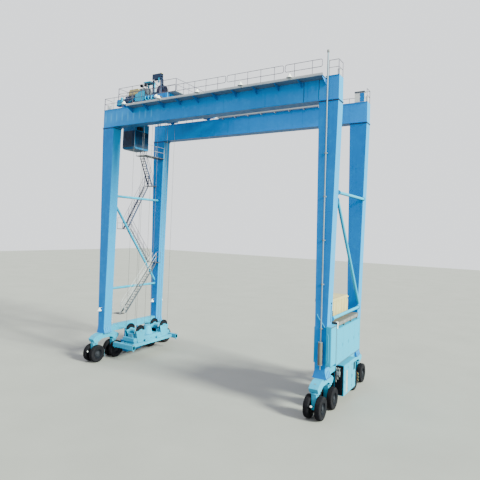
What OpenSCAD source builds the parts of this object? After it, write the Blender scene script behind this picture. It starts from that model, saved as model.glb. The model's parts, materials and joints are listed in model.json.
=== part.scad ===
// Rubber tyred gantry crane, standing on its tyres at Z = 0.
// X runs along the girders, Y is the way the crane travels, Z is up.

/* [Portal] */
// Distance between the two wheel lanes, centre to centre
wheel_span = 20600; // [20200:100:23600]
// Distance between the two main girders, centre to centre
girder_pitch = 6870; // [6800:10:7400]
// Length of each girder beyond the wheel lane centre
girder_end = 830; // [800:10:960]
// Width of a girder over its flanges
girder_w = 940; // [900:10:1000]
// Depth of a girder
girder_h = 1620; // [1500:10:1800]
// Height of the girder tops above the ground
girder_top = 22500; // [22400:50:23500]
// Thickness of the girder flange plates
flange_t = 30; // [20:1:45]
// Overhang of the girder flanges beyond the webs
flange_over = 40; // [20:1:60]

/* [Legs] */
// Width of a leg at its foot, along the girders
leg_foot_w = 740; // [700:10:800]
// Depth of a leg at its foot, across the girders
leg_foot_d = 860; // [820:10:900]
// How far a leg's inner face leans inwards up to its top
leg_lean = 170; // [140:10:200]
// Height of the leg feet above the ground
leg_foot_z = 2400; // [2380:10:2480]
// Height at which the leg's taper starts
leg_taper_z = 3000; // [2950:10:3200]
// Widening of the leg foot on each side
foot_flare = 110; // [60:5:140]
// Thickness of the bolted flange plates
joint_plate = 50; // [30:5:60]
// Overhang of the bolted flange plates
joint_over = 45; // [20:5:60]

/* [Sills and braces] */
// Depth of a sill beam
sill_h = 550; // [450:10:600]
// Width of a sill beam
sill_w = 500; // [400:10:560]
// Diameter of the horizontal and diagonal brace tubes
brace_d = 220; // [160:5:240]
// Height of the upper brace tube
brace_top_z = 14700; // [14000:50:15400]
// Height of the lower brace tube
brace_low_z = 6200; // [6150:10:6400]
// Height of the diagonal's foot at the rear leg
diagonal_low_z = 6600; // [6550:10:7000]

/* [Bogies and wheels] */
// Distance between the two axles under one leg
axle_gap = 2190; // [2150:10:2400]
// Outer radius of a tyre
tyre_r = 740; // [700:5:760]
// Width of a tyre
tyre_w = 380; // [340:5:400]
// Clear gap between the two tyres of a pair
twin_gap = 400; // [380:5:440]
// Radius of the rim that carries the tyre
rim_r = 365; // [330:5:400]
// Radius of an axle
axle_r = 90; // [70:5:110]
// Width of a bogie beam
bogie_w = 620; // [560:10:700]
// Height of the bogie beam's underside at its ends
bogie_z = 1720; // [1700:10:1760]
// Radius of a steering pivot pin
pivot_r = 100; // [80:5:120]

/* [Trolley] */
// Left end of the trolley frame
trolley_left = -9800; // [-9900:10:-9760]
// Length of the trolley frame
trolley_len = 5900; // [5700:10:6000]
// How far the trolley's deck reaches beyond its right end
deck_over = 850; // [600:10:900]
// Radius of a trolley wheel
trolley_wheel_r = 300; // [250:5:340]
// Centre of the hoist, spreader and ropes along the girders
hoist_x = -8300; // [-8340:10:-8260]
// Height of a trolley rail
rail_h = 120; // [90:5:150]
// Width of a rail head
rail_w = 80; // [60:5:100]

/* [Cab] */
// Length of the cab along the girders
cab_len = 1600; // [1500:10:1650]
// Width of the cab across the girders
cab_w = 1850; // [1700:10:1900]
// Height of the cab
cab_h = 2500; // [2400:10:2600]
// How far the cab hangs below the trolley's cross beams
cab_hang = 1130; // [1000:10:1200]
// How far the cab reaches beyond the trolley's left end
cab_over = 1200; // [1150:10:1300]
// Depth of the panel above the cab windows
cab_panel = 1090; // [900:10:1150]

/* [Hoist and spreader] */
// Diameter of a head block sheave
sheave_d = 1040; // [900:10:1080]
// Height of the sheave axes with the spreader lowered
sheave_z = 2520; // [2500:10:2600]
// Distance between the sheaves across the girders
sheave_gap_y = 3200; // [3100:20:3240]
// Distance between the sheaves along the girders
sheave_gap_x = 1200; // [1160:10:1240]
// Diameter of a hoist rope
rope_d = 26; // [20:1:36]
// Twistlock spacing along the girders
lock_gap_x = 2259; // [2200:1:2300]
// Twistlock spacing across the girders at 20 ft
lock_gap_y = 5853; // [5700:1:5900]

/* [Stairs and railings] */
// Width of a stair flight
flight_w = 550; // [500:10:560]
// Height of a handrail
rail_top = 1040; // [900:10:1150]
// Drop of the girder walkways below the girder tops
walk_drop = 140; // [80:10:200]
// Width of a girder walkway
walk_w = 850; // [780:10:900]
// Left end of the girder walkways
walk_x0 = -7550; // [-7900:50:-7300]
// Diameter of a handrail tube
tube_d = 42; // [34:1:50]
// Thickness of a landing
landing_t = 60; // [40:5:80]

/* [Housings] */
// Depth of the electric house along the girders
house_d = 1600; // [1400:10:1650]
// Length of the electric house
house_l = 5450; // [5000:10:5500]
// Height of the electric house
house_h = 2400; // [2200:10:2450]
// Length of the roof box on the electric house
roof_box_l = 4100; // [3800:50:4500]
// Width of the roof box along the girders
roof_box_d = 970; // [900:10:980]
// Height of the roof box
roof_box_h = 1850; // [1700:10:1950]
// Length of the locker in front of the right leg
locker_l = 1100; // [1000:10:1150]

/* [Hidden] */
seat = 0.3;
run_gap = 5;
half_span = wheel_span / 2;
half_pitch = girder_pitch / 2;
girder_x = half_span + girder_end;
girder_low = girder_top - girder_h;
web_w = girder_w - 2 * flange_over;
leg_in_x = half_span - leg_foot_w / 2;
leg_foot_x = half_span + leg_foot_w / 2;
leg_top_z = girder_low - joint_plate;
base_z = leg_foot_z - joint_plate;
leg_top_in = leg_in_x - leg_lean;
brace_x = half_span + 50;
tyre_in = twin_gap / 2;
tyre_out = tyre_in + tyre_w;
wheel_y = axle_gap / 2;
rail_z = girder_top + rail_h;
trolley_wheel_z = rail_z + seat + trolley_wheel_r;
truck_low = trolley_wheel_z - 130;
truck_h = 560;
deck_z = truck_low + truck_h;
deck_t = 50;
truck_w = 360;
trolley_right = trolley_left + trolley_len;
deck_top = deck_z + deck_t;
deck_right = trolley_right + deck_over;
beam_h = 420;
drum_d = sheave_gap_x - rope_d;
drum_z = deck_top + 60 + drum_d / 2;
rope_y = sheave_d / 2 + rope_d / 2 + seat;
head_low = 1640;
head_h = 300;
lane_a_x = -half_span + 695 - flight_w;
lane_b_x = -half_span - 205 - flight_w;
lane_c_x = lane_b_x - flight_w - 60;
house_low = 3100;
house_x = half_span + 800 - house_d;
house_y = -2950;

steel = [0.25, 0.58, 0.83];
bright = [0.45, 0.80, 0.93];
galvanised = [0.72, 0.74, 0.76];
dark = [0.12, 0.13, 0.15];
cream = [0.84, 0.82, 0.66];

// Half depth of a leg at height z
function leg_hd(z) = leg_foot_d / 2 + (girder_w - leg_foot_d) / 2
  * max(0, z - leg_taper_z) / (leg_top_z - leg_taper_z);

// Outer face of a leg at height z
function leg_ox(z) = leg_foot_x + (girder_x - leg_foot_x)
  * max(0, z - leg_taper_z) / (leg_top_z - leg_taper_z);

// A straight round bar from p to q
module bar(p, q, d, sides = 8) {
  v = q - p;
  len = norm(v);
  translate(p)
    rotate([0, acos(v[2] / len), atan2(v[1], v[0])])
      cylinder(d = d, h = len, $fn = sides);
}

// A box given by its two corners
module block(a, b) {
  translate(a) cube(b - a);
}

// A flat handrail panel over the line from p to q; with an inset its posts stand in from
// both ends and the two rails close in a loop
module fence(p, q, posts = 2, h = rail_top, inset = 0) {
  up = [0, 0, 1];
  along = (q - p) / norm(q - p);
  span = norm(q - p) - 2 * inset;
  for (i = [0 : posts - 1]) {
    foot = p + along * (inset + span * i / (posts - 1));
    bar(foot, foot + up * h, tube_d * 0.9);
  }
  if (inset > 0)
    for (end = [p, q])
      bar(end + up * h * 0.52, end + up * h, tube_d * 0.9);
  bar(p + up * h, q + up * h, tube_d);
  bar(p + up * h * 0.52, q + up * h * 0.52, tube_d * 0.8);
}

module girder(side) {
  color(steel)
    translate([-girder_x, side * half_pitch, girder_low])
      rotate([90, 0, 90])
        linear_extrude(2 * girder_x) {
          translate([-web_w / 2, 0]) square([web_w, girder_h]);
          for (z = [0, girder_h - flange_t])
            translate([-girder_w / 2, z]) square([girder_w, flange_t]);
        }
}
module front_girder() { girder(-1); }
module rear_girder() { girder(1); }

// A leg, tapered both ways, with a flared and bolted foot and a bolted head plate
module leg(sx, sy) {
  color(steel)
    mirror([sx < 0 ? 1 : 0, 0, 0])
      translate([0, sy * half_pitch, 0]) {
        intersection() {
          translate([0, girder_w, 0])
            rotate([90, 0, 0])
              linear_extrude(2 * girder_w)
                polygon([
                  [leg_in_x - foot_flare, leg_foot_z], [leg_foot_x + foot_flare, leg_foot_z],
                  [leg_foot_x, leg_foot_z + 4 * foot_flare], [leg_foot_x, leg_taper_z],
                  [girder_x, leg_top_z], [leg_top_in, leg_top_z], [leg_in_x, leg_taper_z],
                  [leg_in_x, leg_foot_z + 4 * foot_flare]
                ]);
          translate([leg_in_x - girder_w, 0, 0])
            rotate([90, 0, 90])
              linear_extrude(4 * girder_w)
                polygon([
                  [-leg_foot_d / 2, leg_foot_z], [leg_foot_d / 2, leg_foot_z],
                  [leg_foot_d / 2, leg_taper_z], [girder_w / 2, leg_top_z],
                  [-girder_w / 2, leg_top_z], [-leg_foot_d / 2, leg_taper_z]
                ]);
        }
        block([leg_in_x - foot_flare - joint_over, -leg_foot_d / 2, base_z],
              [leg_foot_x + foot_flare + joint_over, leg_foot_d / 2, leg_foot_z]);
        block([leg_top_in - joint_over, -girder_w / 2 - joint_over, leg_top_z],
              [girder_x + joint_over, girder_w / 2 + joint_over, girder_low]);
      }
}
module leg_left_front() { leg(-1, -1); }
module leg_left_rear() { leg(-1, 1); }
module leg_right_front() { leg(1, -1); }
module leg_right_rear() { leg(1, 1); }

module sill(sx) {
  reach = half_pitch - leg_foot_d / 2;
  color(bright)
    translate([sx * half_span - sill_w / 2, 0, base_z])
      rotate([90, 0, 90])
        linear_extrude(sill_w)
          polygon([
            [-reach, 0], [reach, 0], [reach, sill_h],
            [-reach, sill_h]
          ]);
}
module sill_left() { sill(-1); }
module sill_right() { sill(1); }

// A brace tube from the front leg at x0 and height z0 to the rear leg at x1 and z1, cut at
// the leg faces
module brace(x0, x1, z0, z1) {
  run = girder_pitch - leg_foot_d;
  slope = (z1 - z0) / run;
  top = brace_d * sqrt(1 + slope * slope);
  intersection() {
    bar([x0, -half_pitch, z0 - slope * leg_foot_d / 2],
        [x1, half_pitch, z1 + slope * leg_foot_d / 2], brace_d, 24);
    block([min(x0, x1) - brace_d, -half_pitch + leg_hd(z0 + top) + seat,
           min(z0, z1) - 2 * brace_d],
          [max(x0, x1) + brace_d, half_pitch - leg_hd(z1 + top) - seat,
           max(z0, z1) + 2 * brace_d]);
  }
}

// Front and rear height of each brace tube
brace_runs = [
  [brace_top_z, brace_top_z], [brace_low_z, brace_low_z], [brace_top_z - 500, diagonal_low_z]
];
module braces_left() {
  color(bright)
    for (r = brace_runs)
      brace(-brace_x, -brace_x, r[0], r[1]);
}
// On the right the tubes run along the outer faces of the legs
module braces_right() {
  color(bright)
    for (r = brace_runs)
      brace(leg_ox(r[0]), leg_ox(r[1]), r[0], r[1]);
}

// The equaliser beam under a leg, with a bore for each steering pivot
module bogie_beam() {
  rise = base_z - bogie_z;
  head = 255;
  difference() {
    translate([-bogie_w / 2, 0, bogie_z])
      rotate([90, 0, 90])
        linear_extrude(bogie_w)
          polygon([
            [-wheel_y - head - 150, rise * 0.42], [-wheel_y - head, 0],
            [-wheel_y + head, 0], [-wheel_y + 2 * head, rise * 0.33],
            [wheel_y - 2 * head, rise * 0.33], [wheel_y - head, 0],
            [wheel_y + head, 0], [wheel_y + head + 150, rise * 0.42],
            [wheel_y + head / 2, rise * 0.76], [leg_foot_d * 0.9, rise],
            [-leg_foot_d * 0.9, rise], [-wheel_y - head / 2, rise * 0.76]
          ]);
    for (s = [-1, 1])
      translate([0, s * wheel_y, bogie_z - 1])
        cylinder(r = pivot_r + 0.1, h = 301, $fn = 48);
  }
}
module bogie_beams() {
  color(bright)
    for (sx = [-1, 1], sy = [-1, 1])
      translate([sx * half_span, sy * half_pitch, 0]) bogie_beam();
}

// The yoke of one wheel pair; guard is the side of its striped plate
module yoke(sx, sy, s, guard) {
  cheek = tyre_in - 35;
  hub_r = 210;
  disc_z = bogie_z - run_gap;
  color(bright)
    translate([sx * half_span, sy * half_pitch + s * wheel_y, 0]) {
      difference() {
        union() {
          translate([0, 0, disc_z - 100]) cylinder(r = 320, h = 100, $fn = 48);
          translate([0, 0, disc_z]) cylinder(r = pivot_r, h = 290, $fn = 48);
          translate([-cheek, 0, 0])
            rotate([90, 0, 90])
              linear_extrude(2 * cheek)
                polygon([
                  [-250, disc_z - 100], [-hub_r, tyre_r + 240], [-hub_r, tyre_r],
                  [hub_r, tyre_r], [hub_r, tyre_r + 240], [250, disc_z - 100]
                ]);
          translate([-cheek, 0, tyre_r])
            rotate([0, 90, 0]) cylinder(r = hub_r, h = 2 * cheek, $fn = 48);
          for (x = [-90, 90])
            block([x - 30, guard > 0 ? 0 : -800, tyre_r - 230],
                  [x + 30, guard > 0 ? 800 : 0, tyre_r - 150]);
          block([-450, guard > 0 ? 800 : -815, 250], [450, guard > 0 ? 815 : -800, 950]);
        }
        translate([-tyre_in, 0, tyre_r])
          rotate([0, 90, 0]) cylinder(r = axle_r + 0.1, h = 2 * tyre_in, $fn = 48);
      }
    }
}
module yoke_left_front_a() { yoke(-1, -1, -1, 1); }
module yoke_left_front_b() { yoke(-1, -1, 1, 1); }
module yoke_left_rear_a() { yoke(-1, 1, -1, -1); }
module yoke_left_rear_b() { yoke(-1, 1, 1, -1); }
module yoke_right_front_a() { yoke(1, -1, -1, 1); }
module yoke_right_front_b() { yoke(1, -1, 1, 1); }
module yoke_right_rear_a() { yoke(1, 1, -1, -1); }
module yoke_right_rear_b() { yoke(1, 1, 1, -1); }

// Half outline of a wheel pair, as radius and distance from the pair's middle
function wheel_side(m) = [
  [axle_r, m * tyre_in], [rim_r, m * tyre_in], [rim_r + 150, m * tyre_in],
  [tyre_r - 60, m * (tyre_in + 15)], [tyre_r, m * (tyre_in + 75)],
  [tyre_r, m * (tyre_out - 75)], [tyre_r - 60, m * (tyre_out - 15)],
  [rim_r + 150, m * tyre_out], [rim_r, m * (tyre_out - 20)],
  [rim_r - 40, m * (tyre_out - 90)], [230, m * (tyre_out - 130)],
  [120, m * (tyre_out - 130)], [105, m * (tyre_out - 30)], [0, m * (tyre_out - 30)]
];

module wheels(sx, sy, s) {
  left = wheel_side(-1);
  color(dark)
    translate([sx * half_span, sy * half_pitch + s * wheel_y, tyre_r])
      rotate([0, 90, 0])
        rotate_extrude($fn = 48)
          polygon(concat(wheel_side(1), [for (i = [len(left) - 1 : -1 : 0]) left[i]]));
}
module wheels_left_front_a() { wheels(-1, -1, -1); }
module wheels_left_front_b() { wheels(-1, -1, 1); }
module wheels_left_rear_a() { wheels(-1, 1, -1); }
module wheels_left_rear_b() { wheels(-1, 1, 1); }
module wheels_right_front_a() { wheels(1, -1, -1); }
module wheels_right_front_b() { wheels(1, -1, 1); }
module wheels_right_rear_a() { wheels(1, 1, -1); }
module wheels_right_rear_b() { wheels(1, 1, 1); }

module trolley_rails() {
  reach = girder_x - 240;
  color(galvanised)
    for (s = [-1, 1]) {
      translate([-reach, s * half_pitch, girder_top])
        rotate([90, 0, 90])
          linear_extrude(2 * reach)
            polygon([
              [-70, 0], [70, 0], [70, 20], [12, 35], [12, rail_h - 40], [rail_w / 2, rail_h - 30],
              [rail_w / 2, rail_h], [-rail_w / 2, rail_h], [-rail_w / 2, rail_h - 30],
              [-12, rail_h - 40], [-12, 35], [-70, 20]
            ]);
      for (e = [-1, 1])
        block([e * (reach + 90) - 80, s * half_pitch - 130, girder_top],
              [e * (reach + 90) + 80, s * half_pitch + 130, girder_top + 520]);
    }
}

walk_in = half_pitch + web_w / 2 + seat;
walk_out = walk_in + walk_w;
walk_z = girder_top - walk_drop;
walk_edge = half_pitch + girder_w / 2;
brackets = 11;

// Right end of a walkway: the rear one ends short of the ladder
function walk_x1(s) = s < 0 ? half_span : half_span - 400;

module walkways() {
  color(galvanised)
    for (s = [-1, 1]) {
      block([walk_x0, s > 0 ? walk_in : -walk_out, walk_z - landing_t],
            [walk_x1(s), s > 0 ? walk_out : -walk_in, walk_z]);
      for (i = [0 : brackets - 1])
        translate([walk_x0 + 60 + (walk_x1(s) - walk_x0 - 120) * i / (brackets - 1) - 6,
                   s * walk_in, walk_z - landing_t - seat])
          rotate([90, 0, 90])
            linear_extrude(12)
              polygon([[0, 0], [s * (walk_w - 40), 0], [s * (walk_w - 40), -50], [0, -420]]);
    }
}

// The handrail's sections: each closes in a loop, a hand's width from the next
module long_handrail(s) {
  gap = 130;
  breaks = [walk_x0, -2070, 2700, 7470, walk_x1(s)];
  y = s * (walk_out - tube_d);
  for (i = [0 : len(breaks) - 2]) {
    x0 = breaks[i] + gap / 2;
    x1 = breaks[i + 1] - gap / 2;
    fence([x0, y, walk_z], [x1, y, walk_z], round((x1 - x0) / 1150), rail_top, 700);
  }
}
module front_handrail() { color(galvanised) long_handrail(-1); }
module rear_handrail() { color(galvanised) long_handrail(1); }

// Railings round the four girder ends: from the walkway's end outwards and over the end
module end_railings() {
  out_y = half_pitch + girder_w / 2 - tube_d;
  in_y = half_pitch - girder_w / 2 + tube_d;
  color(galvanised)
    for (sx = [-1, 1], sy = [-1, 1]) {
      x0 = sx < 0 ? walk_x0 - 60 : walk_x1(sy) + 120;
      x1 = sx * (girder_x - tube_d);
      fence([x0, sy * out_y, girder_top], [x1, sy * out_y, girder_top], sx < 0 ? 4 : 2);
      fence([x1, sy * (out_y - tube_d - 1), girder_top], [x1, sy * in_y, girder_top], 2);
    }
}

trough_x0 = -3000;
trough_x1 = 9000;
trough_y = half_pitch - girder_w / 2;
module cable_trough() {
  color(galvanised) {
    translate([trough_x0, 0, girder_top])
      rotate([90, 0, 90])
        linear_extrude(trough_x1 - trough_x0)
          difference() {
            translate([trough_y - 290, 0]) square([330, 270]);
            translate([trough_y - 270, 20]) square([290, 251]);
          }
    for (x = [trough_x0 + 500 : 1375 : trough_x1 - 400])
      block([x, trough_y - 280, girder_top - 120],
            [x + 60, trough_y - seat, girder_top - seat]);
    block([girder_x - 1030, trough_y + 30, girder_top],
          [girder_x - 250, trough_y + 290, girder_top + 880]);
  }
}

// Stairs: the lane's low X edge, the flight's foot and head as [y, z], treads as separate slabs
flight_1 = [lane_a_x, [-1700, 3900], [2300, 8400]];
flight_2 = [lane_b_x, [2300, 8400], [-400, 11700]];
flight_3 = [lane_c_x, [-400, 11700], [2350, 16200]];
flight_4 = [lane_b_x, [2350, 16200], [950, 19000]];
stringer_t = 30;
stringer_h = 200;

module flight(f, rise_step = 225) {
  x = f[0];
  low = f[1];
  high = f[2];
  rise = high[1] - low[1];
  run = high[0] - low[0];
  steps = round(rise / rise_step);
  color(dark) {
    for (sx = [x, x + flight_w - stringer_t])
      translate([sx, 0, 0])
        rotate([90, 0, 90])
          linear_extrude(stringer_t)
            polygon([
              [low[0], low[1]], [low[0] + sign(run) * stringer_h, low[1]],
              [high[0], high[1] - stringer_h], [high[0], high[1]]
            ]);
    for (i = [1 : steps - 1]) {
      y = low[0] + run * (i + 0.35) / steps;
      z = low[1] + rise * i / steps;
      block([x + stringer_t + seat, y - 110, z - 30],
            [x + flight_w - stringer_t - seat, y + 110, z]);
    }
  }
}
module stair_flight_1() { flight(flight_1); }
module stair_flight_2() { flight(flight_2); }
module stair_flight_3() { flight(flight_3); }
module stair_flight_4() { flight(flight_4); }

// The rear leg's face towards the stairs at height z
function leg_face(z) = half_pitch - leg_hd(z) - seat;

module landing(x0, x1, y0, y1, z) {
  block([x0, y0, z - landing_t], [x1, y1, z]);
}
module stair_landings() {
  a1 = lane_a_x + flight_w;
  b1 = lane_b_x + flight_w;
  low = flight_1[1];
  past_rail = b1 + (tube_d - stringer_t) / 2 + seat;
  color(dark) {
    landing(-half_span - 160, a1, low[0] - 600, low[0] - seat, low[1]);
    landing(-half_span - 160, -half_span - 100, -leg_face(low[1]), low[0] - 600, low[1]);
    landing(lane_b_x, a1, flight_1[2][0] + seat, leg_face(flight_1[2][1]), flight_1[2][1]);
    landing(lane_c_x, b1, flight_2[2][0] - 750, flight_2[2][0] - seat, flight_2[2][1]);
    landing(lane_c_x, b1, flight_3[2][0] + seat, leg_face(flight_3[2][1]), flight_3[2][1]);
    landing(lane_b_x, a1, flight_4[2][0] - 600, flight_4[2][0] - seat, flight_4[2][1]);
    landing(past_rail, a1, flight_4[2][0] - 100, leg_face(flight_4[2][1]), flight_4[2][1]);
  }
}

// The two handrails of a flight, raised so that the posts stand on the slope
module flight_rails(f, posts) {
  low = [0, f[1][0], f[1][1]];
  high = [0, f[2][0], f[2][1]];
  lift = tube_d * 0.45 * (high[2] - low[2]) / abs(high[1] - low[1]) + seat;
  for (x = [f[0] + stringer_t / 2, f[0] + flight_w - stringer_t / 2])
    fence(low + [x, 0, lift], high + [x, 0, lift], posts, 950);
}
module stair_handrails() {
  in = tube_d / 2;
  a1 = lane_a_x + flight_w - in;
  b0 = lane_b_x + in;
  c0 = lane_c_x + in;
  low = flight_1[1];
  // Each landing railing as its lane edge, its two ends along Y and its height
  runs = [
    [a1, low[0] - 580, low[0] - 60, low[1]],
    [a1, flight_1[2][0] + 60, leg_face(flight_1[2][1]) - 40, flight_1[2][1]],
    [c0, flight_2[2][0] - 730, flight_2[2][0] - 60, flight_2[2][1]],
    [c0, flight_3[2][0] + 60, leg_face(flight_3[2][1]) - 40, flight_3[2][1]],
    [b0, flight_4[2][0] - 560, flight_4[2][0] - 60, flight_4[2][1]],
    [a1, flight_4[2][0] - 560, leg_face(flight_4[2][1]) - 40, flight_4[2][1]]
  ];
  color(galvanised) {
    flight_rails(flight_1, 5);
    flight_rails(flight_2, 4);
    flight_rails(flight_3, 5);
    flight_rails(flight_4, 4);
    for (r = runs)
      fence([r[0], r[1], r[3] + seat], [r[0], r[2], r[3] + seat], r[2] - r[1] > 1500 ? 3 : 2);
  }
}

// A ladder at Y = y with rungs from z0 to z1 and brackets back to the leg, against dir
module ladder(x, y, z0, z1, dir, bracket_z) {
  half = 200;
  for (sx = [-half, half])
    bar([x + sx, y, z0], [x + sx, y, z1], 50, 6);
  for (z = [z0 + 250 : 300 : z1 - 100])
    bar([x - half, y, z], [x + half, y, z], 28, 6);
  for (z = bracket_z, sx = [-half, half]) {
    back = sign(y) * half_pitch + dir * leg_hd(z);
    block([x + sx - 20, min(back + dir * seat, y), z], [x + sx + 20, max(back + dir * seat, y), z + 60]);
  }
}
module ladders() {
  color(galvanised) {
    ladder(-half_span + 190, -half_pitch + leg_foot_d / 2 + 90, base_z + sill_h + seat, 5100, 1,
           [3300, 4500]);
    ladder(half_span - 35, walk_edge + 130, base_z + 120, girder_top + rail_top, 1,
           [for (z = [3200 : 3400 : 20500]) z]);
  }
}

// The electric house on its two feet, and the locker that runs on past the front leg
module electric_house() {
  color(bright)
    difference() {
      union() {
        block([house_x, house_y, house_low],
              [house_x + house_d, house_y + house_l, house_low + house_h]);
        block([leg_ox(house_low + house_h) + 20, house_y - locker_l, house_low + 200],
              [house_x + house_d, house_y + 40, house_low + house_h + 330]);
        for (y = [house_y + 300, house_y + house_l - 600])
          block([half_span - sill_w / 2, y, base_z + sill_h],
                [half_span + sill_w / 2, y + 300, house_low]);
      }
      block([house_x + house_d - 12, house_y + 90, house_low + 60],
            [house_x + house_d + 1, house_y + house_l - 60, house_low + house_h - 60]);
    }
}
house_top = house_low + house_h;
roof_box_bevel = 350;

// Side view of the roof box, grown by over on all sides but the bottom
module roof_box_side(over) {
  polygon([
    [-over, 0], [roof_box_l + over, 0], [roof_box_l + over, roof_box_h - roof_box_bevel],
    [roof_box_l + over - roof_box_bevel, roof_box_h + over], [-over, roof_box_h + over]
  ]);
}
module roof_units() {
  rim = 160;
  over = 40;
  unit_x = house_x + house_d - 560;
  unit_y = house_y + 300;
  unit_l = house_l - 650;
  color(cream) {
    translate([house_x + 30, house_y + 70, house_top])
      rotate([90, 0, 90]) {
        linear_extrude(roof_box_d) roof_box_side(0);
        translate([0, 0, -over])
          linear_extrude(roof_box_d + 2 * over)
            intersection() {
              roof_box_side(over);
              translate([-over, roof_box_h - rim]) square([roof_box_l + 2 * over, rim + over]);
            }
      }
    block([unit_x, unit_y, house_top + 150], [unit_x + 500, unit_y + unit_l, house_top + 430]);
    for (x = [unit_x + 40, unit_x + 360], i = [0 : 3])
      block([x, unit_y + 60 + (unit_l - 220) * i / 3, house_top],
            [x + 100, unit_y + 160 + (unit_l - 220) * i / 3, house_top + 150]);
  }
}

module power_cabinet() {
  out_x = house_x + house_d + 50;
  half_l = 1360;
  color(bright) {
    block([half_span - 550, -half_l, 650], [out_x, half_l, base_z]);
    block([half_span + sill_w / 2, -half_l, base_z], [out_x, half_l, 2750]);
  }
}

module side_cabinet() {
  color(steel) {
    block([-half_span - 400, -1000, 150], [-half_span + 450, 900, 1200]);
    for (y = [-900, 700])
      block([-half_span - 60, y, 1200], [-half_span + 60, y + 100, base_z]);
  }
}

module mast_pipe() {
  x = half_span + 80;
  y = -walk_edge - joint_over - 70;
  color(galvanised) {
    translate([x, y, 3000]) cylinder(d = 100, h = 21050, $fn = 24);
    translate([x, y, 24050]) cylinder(d = 160, h = 160, $fn = 24);
    translate([x, y - 40, 3300]) cylinder(d = 300, h = 1500, $fn = 32);
    for (z = [5600 : 2900 : 20000])
      block([x - 90, y, z], [x + 90, -half_pitch - leg_hd(z + 90) - seat, z + 90]);
  }
}

// A floodlight that hangs from an arm; the arm leaves a wall along dir and then rises
module floodlight(wall, dir, rise = 0) {
  lamp_r = 210;
  lamp_h = 250;
  arm_d = 50;
  knee = wall + dir * 40;
  lamp = wall + dir * 260 + [0, 0, rise];
  translate(lamp - [0, 0, lamp_h]) cylinder(r1 = lamp_r, r2 = 60, h = lamp_h, $fn = 24);
  bar(wall, knee, arm_d);
  bar(knee, lamp, arm_d);
}
module floodlights() {
  z = 4600;
  color("white") {
    for (i = [0 : 4])
      floodlight([walk_x0 + 50 + 3875 * i, -walk_out - seat, walk_z - 30], [0, -1, 0], 290);
    for (s = [-1, 1])
      floodlight([-half_span, s * half_pitch - leg_hd(z) - seat, z], [0, -1, 0]);
    floodlight([-half_span, half_pitch + leg_hd(z) + seat, z], [0, 1, 0]);
  }
}

// The trolley's wheel boxes, joined by a shallower beam, and a panel on the front one
module trolley_trucks() {
  box_l = 1250;
  rise = 330;
  color(steel) {
    block([hoist_x + 1100, -half_pitch - truck_w / 2 - 60, truck_low + 110],
          [hoist_x + 1800, -half_pitch - truck_w / 2 + 1, deck_z + 400]);
    for (s = [-1, 1]) {
      translate([0, s * half_pitch + truck_w / 2, 0])
        rotate([90, 0, 0])
          linear_extrude(truck_w)
            polygon([
              [trolley_left, truck_low], [trolley_left + box_l, truck_low],
              [trolley_left + box_l + 100, truck_low + rise],
              [trolley_right - box_l - 100, truck_low + rise],
              [trolley_right - box_l, truck_low], [trolley_right, truck_low],
              [trolley_right, deck_z], [trolley_left, deck_z]
            ]);
      for (x = [trolley_left + 700, trolley_right - 700])
        translate([x, s * half_pitch + 60, trolley_wheel_z])
          rotate([90, 0, 0]) cylinder(r = trolley_wheel_r, h = 120, $fn = 48);
    }
  }
}
beam_gap = half_pitch - truck_w / 2;
module trolley_beams() {
  color(steel)
    for (x = [trolley_left, hoist_x + 1350, trolley_right - 350])
      block([x, -beam_gap, deck_z - beam_h], [x + 350, beam_gap, deck_z]);
}
module trolley_deck() {
  color(galvanised)
    for (run = [[trolley_left, hoist_x - sheave_gap_x / 2 - 150],
                [hoist_x - sheave_gap_x / 2 + 150, hoist_x + sheave_gap_x / 2 - 150],
                [hoist_x + sheave_gap_x / 2 + 150, deck_right]])
      block([run[0], -half_pitch - 100, deck_z], [run[1], half_pitch + 100, deck_z + deck_t]);
}
module trolley_handrail() {
  y = half_pitch + 100 - tube_d;
  x0 = trolley_left + tube_d;
  x1 = deck_right - tube_d;
  z = deck_top + seat;
  color(galvanised) {
    for (s = [-1, 1])
      fence([x0, s * y, z], [x1, s * y, z], 5);
    for (x = [x0, x1])
      fence([x, -y + tube_d + 1, z], [x, y - tube_d - 1, z], 5);
  }
}
// The rope drum between its two bearing blocks, the gearbox and motor in front of it, a
// canopy beside the motor and two cabinets
module hoist_machinery() {
  drum_l = sheave_gap_y + 2 * rope_y + 160;
  bearing_w = 300;
  bearing_r = 350;
  gear_y = drum_l / 2 + bearing_w;
  motor_x = hoist_x + 650;
  motor_y = -gear_y - 290;
  motor_z = deck_top + 550;
  color(cream) {
    translate([hoist_x, drum_l / 2, drum_z])
      rotate([90, 0, 0]) cylinder(d = drum_d, h = drum_l, $fn = 64);
    for (s = [-1, 1])
      translate([hoist_x, s > 0 ? drum_l / 2 + bearing_w : -drum_l / 2, deck_top])
        rotate([90, 0, 0])
          linear_extrude(bearing_w) {
            polygon([
              [-450, 0], [450, 0], [bearing_r, drum_z - deck_top], [-bearing_r, drum_z - deck_top]
            ]);
            translate([0, drum_z - deck_top]) circle(r = bearing_r, $fn = 48);
          }
    translate([hoist_x, -gear_y + 1, deck_top])
      rotate([90, 0, 0])
        linear_extrude(580)
          polygon([
            [-650, 0], [650, 0], [650, 760], [500, 950], [-500, 950], [-650, 760]
          ]);
    translate([motor_x - 1, motor_y, motor_z])
      rotate([0, 90, 0]) cylinder(r = 340, h = 1000, $fn = 32);
    block([motor_x + 150, motor_y - 220, deck_top], [motor_x + 850, motor_y + 220, motor_z - 200]);
    for (x = [hoist_x + 1100, hoist_x + 1800])
      block([x, -2360, deck_top], [x + 60, -2300, deck_top + 1400]);
    block([hoist_x + 1050, -3000, deck_top + 1350], [hoist_x + 1880, -2280, deck_top + 1450]);
    for (y = [-1500, 300])
      block([hoist_x + 1000, y, deck_top], [hoist_x + 1700, y + 1200, deck_top + 800]);
  }
}
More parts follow.
